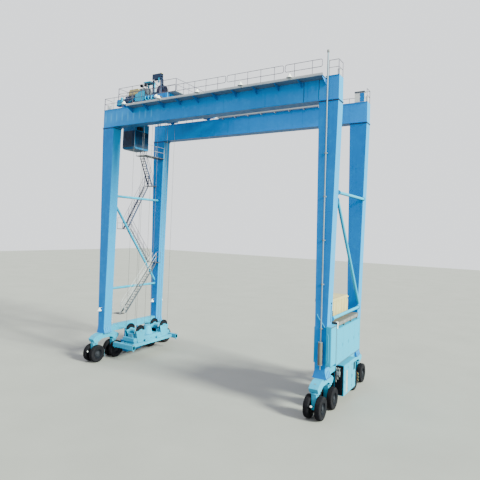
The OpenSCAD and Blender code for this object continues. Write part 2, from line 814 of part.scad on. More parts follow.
// The cable reel on its stand, and the frame of the cable guide beside it
module cable_reel() {
  x = trolley_right - 1640;
  y = -half_pitch + 1035;
  reel_r = 550;
  reel_w = 300;
  z = deck_top + reel_r + 30;
  guide_h = 1500;
  color(dark) {
    difference() {
      translate([x, y + reel_w / 2, z]) rotate([90, 0, 0]) cylinder(r = reel_r, h = reel_w, $fn = 48);
      for (s = [-1, 1])
        translate([x, y + s * reel_w / 2 + 50, z])
          rotate([90, 0, 0]) cylinder(r = reel_r - 120, h = 100, $fn = 48);
    }
    block([x - 80, y + reel_w / 2 - 49, deck_top], [x + 80, y + reel_w / 2 + 150, z + 80]);
    for (px = [x - 710, x + 170])
      block([px, y - 500, deck_top], [px + 120, y - 380, deck_top + guide_h]);
    block([x - 710, y - 560, deck_top + guide_h - 1],
          [x + 290, y - 260, deck_top + guide_h + 550]);
  }
}

cab_x = trolley_left - cab_over;
cab_y = 300 - cab_w;
cab_z = deck_z - beam_h - cab_hang - cab_h;
cab_wall = 60;
module cab_shape() {
  rotate([90, 0, 90])
    linear_extrude(cab_len)
      polygon([
        [cab_y, cab_z + 120], [cab_y + 160, cab_z], [cab_y + cab_w, cab_z],
        [cab_y + cab_w, cab_z + cab_h], [cab_y, cab_z + cab_h]
      ]);
}
window_low = cab_z + 160;
window_high = cab_z + cab_h - cab_panel;

// The cab with its windows, on four posts under two bearers that lie under the trolley's end
module cab() {
  post = 120;
  bearer_h = 200;
  hang_z = deck_z - beam_h - seat;
  color(steel) {
    difference() {
      translate([cab_x, 0, 0]) cab_shape();
      block([cab_x + cab_wall, cab_y + cab_wall, cab_z + 130],
            [cab_x + cab_len - cab_wall, cab_y + cab_w - cab_wall, cab_z + cab_h - 100]);
      block([cab_x + 120, cab_y - 1, window_low],
            [cab_x + cab_len - 120, cab_y + cab_wall + 1, window_high]);
      block([cab_x + cab_len - cab_wall - 1, cab_y + 120, window_low],
            [cab_x + cab_len + 1, cab_y + cab_w - 300, window_high]);
      block([cab_x - 1, cab_y + 120, window_low],
            [cab_x + cab_wall + 1, cab_y + cab_w - 300, window_high]);
    }
    for (y = [cab_y + 150, cab_y + cab_w - 270]) {
      for (x = [cab_x + 100, cab_x + cab_len - 220])
        block([x, y, cab_z + cab_h - 1], [x + post, y + post, hang_z - bearer_h + 1]);
      block([cab_x + 60, y, hang_z - bearer_h], [trolley_left + 350, y + post, hang_z]);
    }
  }
}
module cab_glass() {
  color([0.1, 0.14, 0.2]) {
    block([cab_x + 120 + seat, cab_y + 20, window_low + seat],
          [cab_x + cab_len - 120 - seat, cab_y + 40, window_high - seat]);
    for (x = [cab_x + 20, cab_x + cab_len - 40])
      block([x, cab_y + 120 + seat, window_low + seat],
            [x + 20, cab_y + cab_w - 300 - seat, window_high - seat]);
  }
}

// Rope falls on both sides of each head block sheave, up to the drum
module hoist_ropes() {
  color(galvanised)
    for (sx = [-1, 1], sy = [-1, 1], side = [-1, 1])
      translate([hoist_x + sx * sheave_gap_x / 2, sy * sheave_gap_y / 2 + side * rope_y, sheave_z])
        cylinder(d = rope_d, h = drum_z - sheave_z, $fn = 12);
}

sheave_w = 120;
cheek_t = 40;
cheek_x = sheave_w / 2 + 10 + cheek_t / 2;
pin_r = 50;
head_w = sheave_gap_x + 2 * cheek_x - cheek_t;
outer_low = head_low - 130;
hub_half = cheek_x - cheek_t / 2 - seat;

// One V-shaped cheek plate, with the bore for the sheave pin; low is its bottom edge
module cheek(low) {
  translate([-cheek_t / 2, 0, 0])
    rotate([90, 0, 90])
      linear_extrude(cheek_t)
        difference() {
          polygon([
            [-340, low], [340, low], [620, sheave_z + 30], [230, sheave_z + 40],
            [130, sheave_z + 150], [-130, sheave_z + 150], [-230, sheave_z + 40], [-620, sheave_z + 30]
          ]);
          translate([0, sheave_z]) circle(r = pin_r + 0.1, $fn = 32);
        }
}
module head_block() {
  color(bright) {
    block([hoist_x - head_w / 2, -2450, head_low], [hoist_x + head_w / 2, 2450, head_low + head_h]);
    for (sx = [-1, 1], sy = [-1, 1])
      translate([hoist_x + sx * sheave_gap_x / 2, sy * sheave_gap_y / 2, 0]) {
        translate([sx * cheek_x, 0, 0]) cheek(outer_low);
        translate([-sx * cheek_x, 0, 0]) cheek(head_low + head_h);
      }
  }
}
module head_sheaves() {
  color(dark)
    for (sx = [-1, 1], sy = [-1, 1])
      translate([hoist_x + sx * sheave_gap_x / 2, sy * sheave_gap_y / 2, sheave_z])
        rotate([0, 90, 0]) {
          translate([0, 0, -sheave_w / 2]) cylinder(d = sheave_d, h = sheave_w, $fn = 64);
          translate([0, 0, -hub_half]) cylinder(r = 2 * pin_r, h = 2 * hub_half, $fn = 32);
          translate([0, 0, -cheek_x - 40]) cylinder(r = pin_r, h = 2 * cheek_x + 80, $fn = 32);
        }
}

spread_low = 1180;
spread_top = head_low;
arm_w = 180;
arm_h = 260;
tube_wall = 15;
lane_x = [-620, -205, 205, 620];
pad = 8 - seat;
module spreader_frame() {
  half_l = 2600;
  color(bright)
    difference() {
      union() {
        for (x = lane_x)
          block([hoist_x + x - arm_w / 2 - tube_wall - 8, -half_l, spread_low],
                [hoist_x + x + arm_w / 2 + tube_wall + 8, half_l, spread_low + arm_h + 2 * tube_wall + 16]);
        for (y = [-half_l, -1300, 0, 1300, half_l])
          block([hoist_x + lane_x[0] - 100, y - (y > 0 ? 60 : 0), spread_low],
                [hoist_x + lane_x[3] + 100, y + (y > 0 ? 0 : 60), spread_low + arm_h + 2 * tube_wall + 16]);
        block([hoist_x - 600, -2300, spread_low + arm_h + 2 * tube_wall + 16],
              [hoist_x + 600, 2300, spread_top - seat]);
      }
      for (x = lane_x)
        block([hoist_x + x - arm_w / 2 - 8, -half_l - 1, spread_low + tube_wall],
              [hoist_x + x + arm_w / 2 + 8, half_l + 1, spread_low + tube_wall + arm_h + 16]);
    }
}
module telescope(s) {
  y_lock = s * lock_gap_y / 2;
  color(bright) {
    block([hoist_x - 1200, y_lock - 150, spread_low - 60],
          [hoist_x + 1200, y_lock + 150, spread_low + 330]);
    for (i = s < 0 ? [0, 2] : [1, 3])
      block([hoist_x + lane_x[i] - arm_w / 2, s < 0 ? y_lock : -1400, spread_low + tube_wall + 8],
            [hoist_x + lane_x[i] + arm_w / 2, s < 0 ? 1400 : y_lock, spread_low + tube_wall + 8 + arm_h]);
    for (sx = [-1, 1])
      translate([hoist_x + sx * lock_gap_x / 2, y_lock, spread_low - 180])
        cylinder(d = 96, h = 180, $fn = 32);
    // Wear pads at the arms' inner ends and under them
    for (i = s < 0 ? [0, 2] : [1, 3], sx = [-1, 1], y = [-1300, 1100])
      translate([hoist_x + lane_x[i] + sx * (arm_w / 2 + pad / 2), s * y, spread_low + tube_wall])
        block([-pad / 2, -100, 8], [pad / 2, 100, arm_h]);
    for (i = s < 0 ? [0, 2] : [1, 3], y = [-1300, 1100])
      block([hoist_x + lane_x[i] - 60, s * y - 100, spread_low + tube_wall + seat],
            [hoist_x + lane_x[i] + 60, s * y + 100, spread_low + tube_wall + 8]);
  }
}
module telescope_front() { telescope(-1); }
module telescope_rear() { telescope(1); }

front_girder();
rear_girder();
leg_left_front();
leg_left_rear();
leg_right_front();
leg_right_rear();
sill_left();
sill_right();
braces_left();
braces_right();
bogie_beams();
trolley_rails();
walkways();
front_handrail();
rear_handrail();
end_railings();
cable_trough();
stair_flight_1();
stair_flight_2();
stair_flight_3();
stair_flight_4();
stair_landings();
stair_handrails();
ladders();
electric_house();
roof_units();
power_cabinet();
side_cabinet();
mast_pipe();
floodlights();
yoke_left_front_a();
yoke_left_front_b();
yoke_left_rear_a();
yoke_left_rear_b();
yoke_right_front_a();
yoke_right_front_b();
yoke_right_rear_a();
yoke_right_rear_b();
wheels_left_front_a();
wheels_left_front_b();
wheels_left_rear_a();
wheels_left_rear_b();
wheels_right_front_a();
wheels_right_front_b();
wheels_right_rear_a();
wheels_right_rear_b();
trolley_trucks();
trolley_beams();
trolley_deck();
trolley_handrail();
hoist_machinery();
cable_reel();
cab();
cab_glass();
hoist_ropes();
head_block();
head_sheaves();
spreader_frame();
telescope_front();
telescope_rear();
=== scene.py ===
import json
import math

import bmesh
import bpy
from mathutils import Matrix, Vector


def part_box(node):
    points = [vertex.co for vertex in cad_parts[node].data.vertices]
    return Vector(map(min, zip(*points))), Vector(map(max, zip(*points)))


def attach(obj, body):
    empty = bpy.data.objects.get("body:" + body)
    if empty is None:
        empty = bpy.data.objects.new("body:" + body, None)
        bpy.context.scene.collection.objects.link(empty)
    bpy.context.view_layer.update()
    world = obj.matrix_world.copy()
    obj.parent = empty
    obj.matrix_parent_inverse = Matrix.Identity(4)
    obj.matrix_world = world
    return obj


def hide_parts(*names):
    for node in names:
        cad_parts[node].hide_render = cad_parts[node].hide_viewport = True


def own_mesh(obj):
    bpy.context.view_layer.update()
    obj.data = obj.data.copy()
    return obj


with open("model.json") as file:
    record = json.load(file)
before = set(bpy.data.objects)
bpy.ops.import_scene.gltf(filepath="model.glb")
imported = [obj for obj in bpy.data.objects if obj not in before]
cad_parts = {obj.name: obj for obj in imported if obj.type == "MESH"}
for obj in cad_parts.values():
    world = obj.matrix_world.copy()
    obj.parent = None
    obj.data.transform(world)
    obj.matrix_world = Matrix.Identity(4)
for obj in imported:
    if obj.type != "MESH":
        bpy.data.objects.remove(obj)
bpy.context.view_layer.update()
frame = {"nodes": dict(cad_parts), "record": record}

NODES = frame["nodes"]

# Sizes of the crane in metres, as in its CAD source: portal and legs, running gear, walkways and rails,
# trolley and hoist, head block and spreader
HALF_SPAN = 10.3
HALF_PITCH = 3.435
GIRDER_X = 11.13
GIRDER_W = 0.94
GIRDER_TOP = 22.5
GIRDER_LOW = 20.88
LEG_IN_X = 9.93
LEG_TOP_IN_X = 9.76
LEG_FOOT_X = 10.67
LEG_FOOT_D = 0.86
LEG_HEAD_Z = 20.83
LEG_TAPER_Z = 3.0  # The legs are straight up to here
FOOT_Z = 2.4
BASE_Z = 2.35
WHEEL_Y = 1.095
TYRE_R = 0.74
TYRE_IN = 0.2
TYRE_OUT = 0.58
WALK_Z = 22.36
WALK_LEFT = -7.55
WALK_RIGHT = {-1: 10.3, 1: 9.9}
WALK_IN = 3.8653
WALK_OUT = 4.7153
RAIL_H = 1.04
TUBE_D = 0.042
DECK_TOP = 23.4003
TROLLEY_X = (-9.8, -3.9)
DECK_RIGHT = -3.05
HOIST_X = -8.3
DRUM_Z = 24.0473
# The sheaves' places from the hoist's middle, and how far each rope fall is from its sheave's middle
SHEAVE_X = 0.6
SHEAVE_Y = 1.6
SHEAVE_Z = 2.52
FALL_Y = 0.5333
HEAD_BLOCK_TOP = 1.94
SPREADER_TOP = 1.5
LOCK_X = 1.1295
LOCK_Y = 2.9265
TRUCK_HALF_W = 0.18
CORNERS = [(sx, sy) for sx in (-1, 1) for sy in (-1, 1)]
SIDE_NAME = {-1: "left", 1: "right"}
END_NAME = {-1: "front", 1: "rear"}
UP = Vector((0, 0, 1))
# The faces of a box whose corners are listed with z changing first, then y, then x
BOX_FACES = [(0, 1, 3, 2), (4, 6, 7, 5), (0, 4, 5, 1), (2, 3, 7, 6), (0, 2, 6, 4), (1, 5, 7, 3)]


def add_camera():
    """The camera of the photograph: its place, tilt and roll, with the frame's centre below the axis."""
    yaw, pitch, roll = (math.radians(a) for a in (31.08, 2.17, 1.95))
    forward = Vector((-math.sin(yaw) * math.cos(pitch), math.cos(yaw) * math.cos(pitch), math.sin(pitch)))
    level = Vector((math.cos(yaw), math.sin(yaw), 0))
    upright = level.cross(forward)
    right = level * math.cos(roll) + upright * math.sin(roll)
    up = upright * math.cos(roll) - level * math.sin(roll)
    data = bpy.data.cameras.new("camera")
    data.sensor_width = 36
    data.lens = 33.64
    data.shift_x = 0.001
    data.shift_y = -0.0552
    data.clip_end = 500
    camera = bpy.data.objects.new("camera", data)
    turned = Matrix((right, up, -forward)).transposed().to_4x4()
    camera.matrix_world = Matrix.Translation((20.9, -32.3, 11.9)) @ turned
    bpy.context.scene.collection.objects.link(camera)
    bpy.context.scene.camera = camera


add_camera()


class Shader:
    """A Principled material whose colour, roughness and bump come from procedural nodes."""

    def __init__(self, name, roughness=0.5, metallic=0.0, specular=0.5):
        self.material = bpy.data.materials.new(name)
        self.material.use_nodes = True
        self.tree = self.material.node_tree
        self.bsdf = self.tree.nodes["Principled BSDF"]
        self.bsdf.inputs["Roughness"].default_value = roughness
        self.bsdf.inputs["Metallic"].default_value = metallic
        self.bsdf.inputs["Specular IOR Level"].default_value = specular
        self.place = self.tree.nodes.new("ShaderNodeTexCoord")
        self.coords = self.place.outputs["Object"]
        self.xyz = None

    def put(self, value, socket):
        if isinstance(value, bpy.types.NodeSocket):
            self.tree.links.new(value, socket)
        elif isinstance(value, (tuple, list)) and len(value) == 3 and socket.type == "RGBA":
            socket.default_value = (*value, 1)
        else:
            socket.default_value = value

    def scaled(self, stretch):
        node = self.tree.nodes.new("ShaderNodeMapping")
        self.put(self.coords, node.inputs["Vector"])
        self.put(stretch, node.inputs["Scale"])
        return node.outputs["Vector"]

    def noise(self, scale, detail=4.0, rough=0.55, stretch=None):
        node = self.tree.nodes.new("ShaderNodeTexNoise")
        self.put(self.scaled(stretch) if stretch else self.coords, node.inputs["Vector"])
        for key, value in (("Scale", scale), ("Detail", detail), ("Roughness", rough)):
            node.inputs[key].default_value = value
        return node.outputs["Fac"]

    def cells(self, scale):
        node = self.tree.nodes.new("ShaderNodeTexVoronoi")
        self.put(self.coords, node.inputs["Vector"])
        node.inputs["Scale"].default_value = scale
        return node.outputs["Distance"]

    def axis(self, name):
        if self.xyz is None:
            self.xyz = self.tree.nodes.new("ShaderNodeSeparateXYZ")
            self.put(self.coords, self.xyz.inputs[0])
        return self.xyz.outputs[name]

    def facing(self, name):
        """How far the surface's normal points along an object axis."""
        node = self.tree.nodes.new("ShaderNodeSeparateXYZ")
        self.put(self.place.outputs["Normal"], node.inputs[0])
        return node.outputs[name]

    def maths(self, kind, a, b=0.0):
        node = self.tree.nodes.new("ShaderNodeMath")
        node.operation = kind
        self.put(a, node.inputs[0])
        self.put(b, node.inputs[1])
        return node.outputs[0]

    def times(self, a, b):
        return self.maths("MULTIPLY", a, b)

    def ramp(self, fac, low, high, a=0.0, b=1.0):
        node = self.tree.nodes.new("ShaderNodeMapRange")
        for key, value in (("Value", fac), ("From Min", low), ("From Max", high), ("To Min", a),
                           ("To Max", b)):
            self.put(value, node.inputs[key])
        return node.outputs[0]

    def mix(self, fac, a, b):
        node = self.tree.nodes.new("ShaderNodeMix")
        node.data_type = "RGBA"
        self.put(fac, node.inputs["Factor"])
        self.put(a, node.inputs["A"])
        self.put(b, node.inputs["B"])
        return next(o for o in node.outputs if o.type == "RGBA")

    def finish(self, colour, rough=None, height=None, distance=0.002):
        self.put(colour, self.bsdf.inputs["Base Color"])
        if rough is not None:
            self.put(rough, self.bsdf.inputs["Roughness"])
        if height is not None:
            bump = self.tree.nodes.new("ShaderNodeBump")
            bump.inputs["Distance"].default_value = distance
            bump.inputs["Strength"].default_value = 0.6
            self.put(height, bump.inputs["Height"])
            self.put(bump.outputs[0], self.bsdf.inputs["Normal"])
        return self.material


# The spacing of the painted highlight streaks on the girder's left end.
GLINT_PITCH = 0.69
STRIPE_PITCH = 0.23
DIAMOND_PITCH = 0.06


def dim(colour, share):
    return tuple(c * share for c in colour)


def painted(name, base, faded, deep, rust=0.5, dust=0.5, plate_glints=0.0, sunlit_tint=None):
    """Weathered paint on steel: cloudy fading, rain streaks, rust spots with runs and dust low down, and
    painted shade on faces that look down.
    smears paints highlights: light vertical streaks on the girder's left end, for light caught by its buckled
    plate; bleached is the painted sunlit colour of faces that look to +X."""
    s = Shader(name, specular=0.3)
    s.bsdf.inputs["Specular Tint"].default_value = (*(min(1.0, 0.1 + 1.2 * c) for c in faded), 1)
    cloud = s.noise(0.35, 5.0, 0.6)
    colour = s.mix(s.ramp(cloud, 0.35, 0.68), deep, base)
    colour = s.mix(s.ramp(s.noise(1.7, 6.0, 0.7), 0.5, 0.8, 0.0, 0.55), colour, faded)
    streak = s.noise(2.2, 5.0, 0.65, (2.6, 2.6, 0.12))
    colour = s.mix(s.ramp(streak, 0.55, 0.8, 0.0, 0.35), colour, dim(deep, 0.45))
    if plate_glints:
        # Painted highlights: light vertical streaks on the girder's left end, for light caught by its buckled
        # plate.
        wave = s.maths("SINE", s.times(s.axis("X"), 2 * math.pi / GLINT_PITCH))
        band = s.times(s.ramp(wave, 0.45, 1.0), s.ramp(s.axis("X"), -4.6, -5.2))
        high = s.times(s.ramp(s.axis("Z"), 21.2, 21.5), s.ramp(s.axis("Z"), 22.2, 21.8))
        colour = s.mix(s.times(s.times(band, high), plate_glints), colour, (0.05, 0.33, 0.66))
        colour = s.mix(s.ramp(s.axis("X"), -4.39, -4.41, 0.0, 0.3), colour, (0.02, 0.26, 0.62))
    # Painted sunlight: faces that look to +X, where the sun falls, take the colour given for their sunlit
    # look.
    if sunlit_tint:
        sunlit_share = s.times(s.ramp(s.facing("X"), 0.6, 0.9), s.ramp(s.noise(0.8, 5.0, 0.6), 0.25, 0.6, 0.7, 0.9))
        colour = s.mix(sunlit_share, colour, sunlit_tint)
    spots = s.ramp(s.noise(9.0, 8.0, 0.75), 0.66 - 0.05 * rust, 0.72)
    runs = s.ramp(s.noise(7.0, 5.0, 0.7, (1.0, 1.0, 0.08)), 0.66 - 0.04 * rust, 0.78, 0.0, 0.6)
    patch = s.ramp(s.noise(0.5, 3.0), 0.42, 0.62)
    worn = s.times(s.maths("MAXIMUM", spots, runs), patch)
    colour = s.mix(s.times(worn, rust), colour, (0.16, 0.062, 0.026))
    low = s.times(s.ramp(s.axis("Z"), 3.4, 0.0), s.ramp(s.noise(3.0, 6.0, 0.7), 0.3, 0.75))
    colour = s.mix(s.times(low, dust), colour, (0.23, 0.19, 0.14))
    # Painted shade: faces that look down are darkened towards a deep tone, as if in shadow.
    underside_shade = s.times(s.ramp(s.facing("Z"), -0.7, -0.95), s.ramp(s.noise(1.3, 5.0), 0.2, 0.6, 0.6, 0.85))
    colour = s.mix(underside_shade, colour, dim(deep, 0.22))
    rough = s.ramp(s.maths("ADD", s.noise(5.0, 5.0), s.times(worn, 0.6)), 0.3, 1.0, 0.42, 0.75)
    height = s.maths("ADD", s.times(s.noise(1.1, 2.0), 2.0), s.times(s.noise(60.0, 3.0), 0.14))
    height = s.maths("SUBTRACT", height, s.times(worn, 0.25))
    return s.finish(colour, rough, height, 0.004)


def galvanised(name, base=(0.36, 0.38, 0.41), rust=0.3):
    """Zinc-coated steel with spangle, dull patches and a little rust."""
    s = Shader(name, metallic=0.25, specular=0.35)
    spangle = s.cells(26.0)
    colour = s.mix(s.ramp(spangle, 0.1, 0.8), dim(base, 0.82), tuple(min(1, c * 1.16) for c in base))
    colour = s.mix(s.ramp(s.noise(0.9, 5.0), 0.45, 0.8, 0.0, 0.5), colour, dim(base, 0.6))
    worn = s.ramp(s.noise(6.0, 7.0, 0.75), 0.6, 0.72, 0.0, rust)
    colour = s.mix(worn, colour, (0.19, 0.09, 0.05))
    rough = s.ramp(s.noise(14.0, 4.0), 0.3, 0.7, 0.38, 0.62)
    return s.finish(colour, rough, s.noise(45.0, 4.0), 0.001)


def rubber():
    s = Shader("tyre_rubber", specular=0.1)
    dust = s.ramp(s.noise(4.0, 7.0, 0.7), 0.45, 0.8, 0.0, 0.45)
    colour = s.mix(dust, (0.005, 0.005, 0.008), (0.024, 0.022, 0.024))
    scuff = s.ramp(s.noise(22.0, 5.0, 0.7), 0.64, 0.82, 0.0, 0.4)
    colour = s.mix(scuff, colour, (0.04, 0.036, 0.036))
    rough = s.ramp(s.noise(11.0, 4.0), 0.3, 0.7, 0.68, 0.92)
    return s.finish(colour, rough, s.noise(70.0, 5.0), 0.0012)


def rail_steel():
    """Rusty crane rail, polished by the wheels along its top."""
    s = Shader("rail_steel", metallic=0.6)
    colour = s.mix(s.ramp(s.noise(3.0, 7.0, 0.7), 0.35, 0.7), (0.17, 0.15, 0.16), (0.3, 0.19, 0.14))
    polished = s.ramp(s.axis("Z"), 22.612, 22.618)
    colour = s.mix(polished, colour, (0.55, 0.55, 0.56))
    rough = s.maths("SUBTRACT", s.ramp(s.noise(20.0), 0.3, 0.7, 0.5, 0.75), s.times(polished, 0.3))
    return s.finish(colour, rough, s.noise(40.0, 5.0), 0.001)


def wire_rope():
    s = Shader("wire_rope", metallic=0.7)
    turn = s.maths("ADD", s.times(s.axis("Z"), 34.0), s.times(s.axis("X"), 90.0))
    lay = s.maths("ABSOLUTE", s.maths("SINE", s.times(turn, 3.0)))
    colour = s.mix(s.ramp(lay, 0.0, 0.6), (0.02, 0.02, 0.02), (0.16, 0.16, 0.165))
    colour = s.mix(s.ramp(s.noise(2.0, 4.0, 0.6), 0.5, 0.8, 0.0, 0.6), colour, (0.1, 0.075, 0.05))
    return s.finish(colour, s.ramp(s.noise(30.0), 0.3, 0.7, 0.35, 0.6), lay, 0.003)


def hazard():
    """Diagonal yellow and black stripes, scuffed and dusty."""
    s = Shader("hazard_stripes")
    slant = s.maths("ADD", s.axis("X"), s.axis("Z"))
    wave = s.maths("SINE", s.times(slant, 2 * math.pi / STRIPE_PITCH))
    colour = s.mix(s.ramp(wave, -0.03, 0.03), (0.012, 0.012, 0.013), (0.62, 0.36, 0.015))
    worn = s.ramp(s.noise(16.0, 7.0, 0.75), 0.58, 0.68, 0.0, 0.8)
    colour = s.mix(worn, colour, (0.1, 0.075, 0.055))
    dirt = s.ramp(s.noise(2.5, 5.0), 0.4, 0.8, 0.0, 0.6)
    colour = s.mix(dirt, colour, (0.12, 0.1, 0.075))
    return s.finish(colour, s.ramp(s.noise(9.0), 0.3, 0.7, 0.45, 0.7), s.noise(30.0, 5.0), 0.001)


def glazing():
    s = Shader("cab_glass", roughness=0.05)
    smear = s.ramp(s.noise(2.5, 5.0, 0.6), 0.4, 0.8)
    s.bsdf.inputs["Transmission Weight"].default_value = 0.6
    s.bsdf.inputs["IOR"].default_value = 1.46
    return s.finish(s.mix(smear, (0.03, 0.05, 0.09), (0.08, 0.1, 0.13)), s.ramp(smear, 0.0, 1.0, 0.03, 0.14))


def lamp_glass():
    s = Shader("lamp_glass", roughness=0.12)
    cell = s.cells(40.0)
    s.bsdf.inputs["Coat Weight"].default_value = 0.6
    return s.finish(s.mix(s.ramp(cell, 0.0, 0.5), (0.8, 0.82, 0.84), (0.95, 0.95, 0.93)), None, cell, 0.002)


def cab_pane():
    """Tinted cab window seen from outside, with dust along its foot."""
    s = Shader("cab_pane", specular=0.12)
    smear = s.ramp(s.noise(3.0, 5.0, 0.6), 0.35, 0.75)
    colour = s.mix(smear, (0.004, 0.013, 0.034), (0.008, 0.030, 0.07))
    foot = s.times(s.ramp(s.axis("Z"), 19.75, 19.45), s.ramp(s.noise(7.0, 5.0), 0.3, 0.7, 0.0, 0.5))
    colour = s.mix(foot, colour, (0.07, 0.08, 0.09))
    return s.finish(colour, s.ramp(smear, 0.0, 1.0, 0.06, 0.2))


def dark_metal(name, base, shine=0.4, worn=0.6, gloss=0.25):
    """Dark steel with dusty patches and rust where it is worn."""
    s = Shader(name, specular=gloss)
    colour = s.mix(s.ramp(s.noise(3.0, 6.0, 0.7), 0.3, 0.75), base,
                   tuple(c * 1.8 + 0.016 * gloss for c in base))
    colour = s.mix(s.ramp(s.noise(12.0, 7.0, 0.75), 0.6, 0.72, 0.0, worn), colour, (0.09, 0.045, 0.028))
    return s.finish(colour, s.ramp(s.noise(15.0, 4.0), 0.3, 0.7, shine, shine + 0.25),
                    s.noise(50.0, 4.0), 0.001)


def walkway_steel():
    """Grey walkway plates, with painted shade on their downward faces, on brackets that carry the girder's
    blue.
    """
    s = Shader("walkway_steel", specular=0.25)
    plate = s.mix(s.ramp(s.noise(1.4, 6.0, 0.7), 0.35, 0.7), (0.16, 0.22, 0.30), (0.34, 0.38, 0.43))
    plate = s.mix(s.ramp(s.noise(5.0, 6.0, 0.7), 0.6, 0.75, 0.0, 0.6), plate, (0.13, 0.09, 0.07))
    # Painted shade: the plates' downward faces are darkened towards a deep blue.
    plate = s.mix(s.ramp(s.facing("Z"), -0.5, -0.9, 0.0, 0.85), plate, (0.03, 0.09, 0.17))
    colour = s.mix(s.ramp(s.axis("Z"), 22.296, 22.299), (0.004, 0.14, 0.42), plate)
    return s.finish(colour, s.ramp(s.noise(18.0), 0.3, 0.7, 0.5, 0.75), s.noise(40.0, 4.0), 0.001)


def checker_plate(name, base):
    """Walkway plate with raised diamonds and rusty patches."""
    s = Shader(name, metallic=0.5)
    a, b = (s.maths("SINE", s.times(s.maths(kind, s.axis("X"), s.axis("Y")), 2 * math.pi / DIAMOND_PITCH))
            for kind in ("ADD", "SUBTRACT"))
    diamonds = s.ramp(s.times(a, b), 0.3, 0.6)
    colour = s.mix(diamonds, dim(base, 0.6), base)
    colour = s.mix(s.ramp(s.noise(2.0, 6.0, 0.7), 0.5, 0.75, 0.0, 0.6), colour, (0.14, 0.09, 0.06))
    return s.finish(colour, s.ramp(s.noise(18.0), 0.3, 0.7, 0.4, 0.65), diamonds, 0.004)


M = {
    "blue": painted("blue_paint", (0.004, 0.175, 0.52), (0.012, 0.24, 0.60), (0.003, 0.145, 0.45),
                    0.35, 0.15, sunlit_tint=(0.003, 0.225, 0.46)),
    "girder": painted("girder_paint", (0.010, 0.205, 0.57), (0.03, 0.29, 0.68), (0.007, 0.175, 0.50),
                      0.3, 0.0, 0.85, (0.003, 0.225, 0.46)),
    # A lighter copy of the girder paint on the rear girder: painted light, making up for the sky light the
    # front girder keeps off it.
    "rear": painted("rear_girder_paint_lightened", (0.014, 0.255, 0.70), (0.03, 0.32, 0.76), (0.010, 0.225, 0.63),
                    0.3, 0.0, sunlit_tint=(0.003, 0.225, 0.46)),
    "light": painted("light_blue_paint", (0.005, 0.30, 0.50), (0.02, 0.38, 0.58), (0.004, 0.24, 0.42),
                     0.45, 0.3, sunlit_tint=(0.003, 0.255, 0.42)),
    "cab": painted("cab_paint", (0.006, 0.11, 0.26), (0.012, 0.17, 0.35), (0.004, 0.08, 0.20), 0.3, 0.3),
    "cream": painted("cream_paint", (0.40, 0.34, 0.16), (0.50, 0.44, 0.25), (0.30, 0.25, 0.12), 0.5, 0.4),
    "white": painted("white_paint", (0.74, 0.74, 0.72), (0.82, 0.82, 0.8), (0.58, 0.59, 0.58), 0.35, 0.3),
    "grey": painted("grey_paint", (0.32, 0.34, 0.36), (0.42, 0.43, 0.44), (0.22, 0.24, 0.26), 0.5, 0.5),
    "galvanised": galvanised("galvanised_steel"),
    "railing": galvanised("railing_steel", (0.075, 0.07, 0.11), 0.2),
    "pipe": galvanised("pipe_steel", (0.13, 0.19, 0.25), 0.2),
    "walkway": walkway_steel(),
    "rail": rail_steel(),
    "rope": wire_rope(),
    "dark": dark_metal("dark_steel", (0.035, 0.045, 0.06)),
    "navy": dark_metal("navy_steel", (0.008, 0.019, 0.050), 0.4, 0.35, 0.18),
    "black": dark_metal("black_steel", (0.003, 0.004, 0.007), 0.45, 0.06, 0.1),
    "hub": dark_metal("hub_steel", (0.012, 0.013, 0.018), 0.45, 0.4, 0.12),
    "violet": dark_metal("violet_steel", (0.045, 0.036, 0.08), 0.4, 0.3),
    "beige": painted("beige_paint", (0.11, 0.11, 0.10), (0.16, 0.155, 0.14), (0.08, 0.075, 0.07), 0.6, 0.5),
    "pane": cab_pane(),
    "bolt": dark_metal("bolt_steel", (0.10, 0.105, 0.11), 0.3),
    "plate": checker_plate("checker_plate", (0.30, 0.32, 0.34)),
    "dark_plate": checker_plate("dark_checker_plate", (0.09, 0.10, 0.12)),
    "rubber": rubber(),
    "hazard": hazard(),
    "glass": glazing(),
    "lamp": lamp_glass(),
}


def round_steps(count, start=0.0):
    """The cosine and sine of even steps round a circle."""
    return [(math.cos(t), math.sin(t)) for t in (2 * math.pi * (k + start) / count for k in range(count))]


def sideways(axis):
    """A unit vector at right angles to axis."""
    return axis.cross(UP if abs(axis.z) < 0.9 else Vector((1, 0, 0))).normalized()


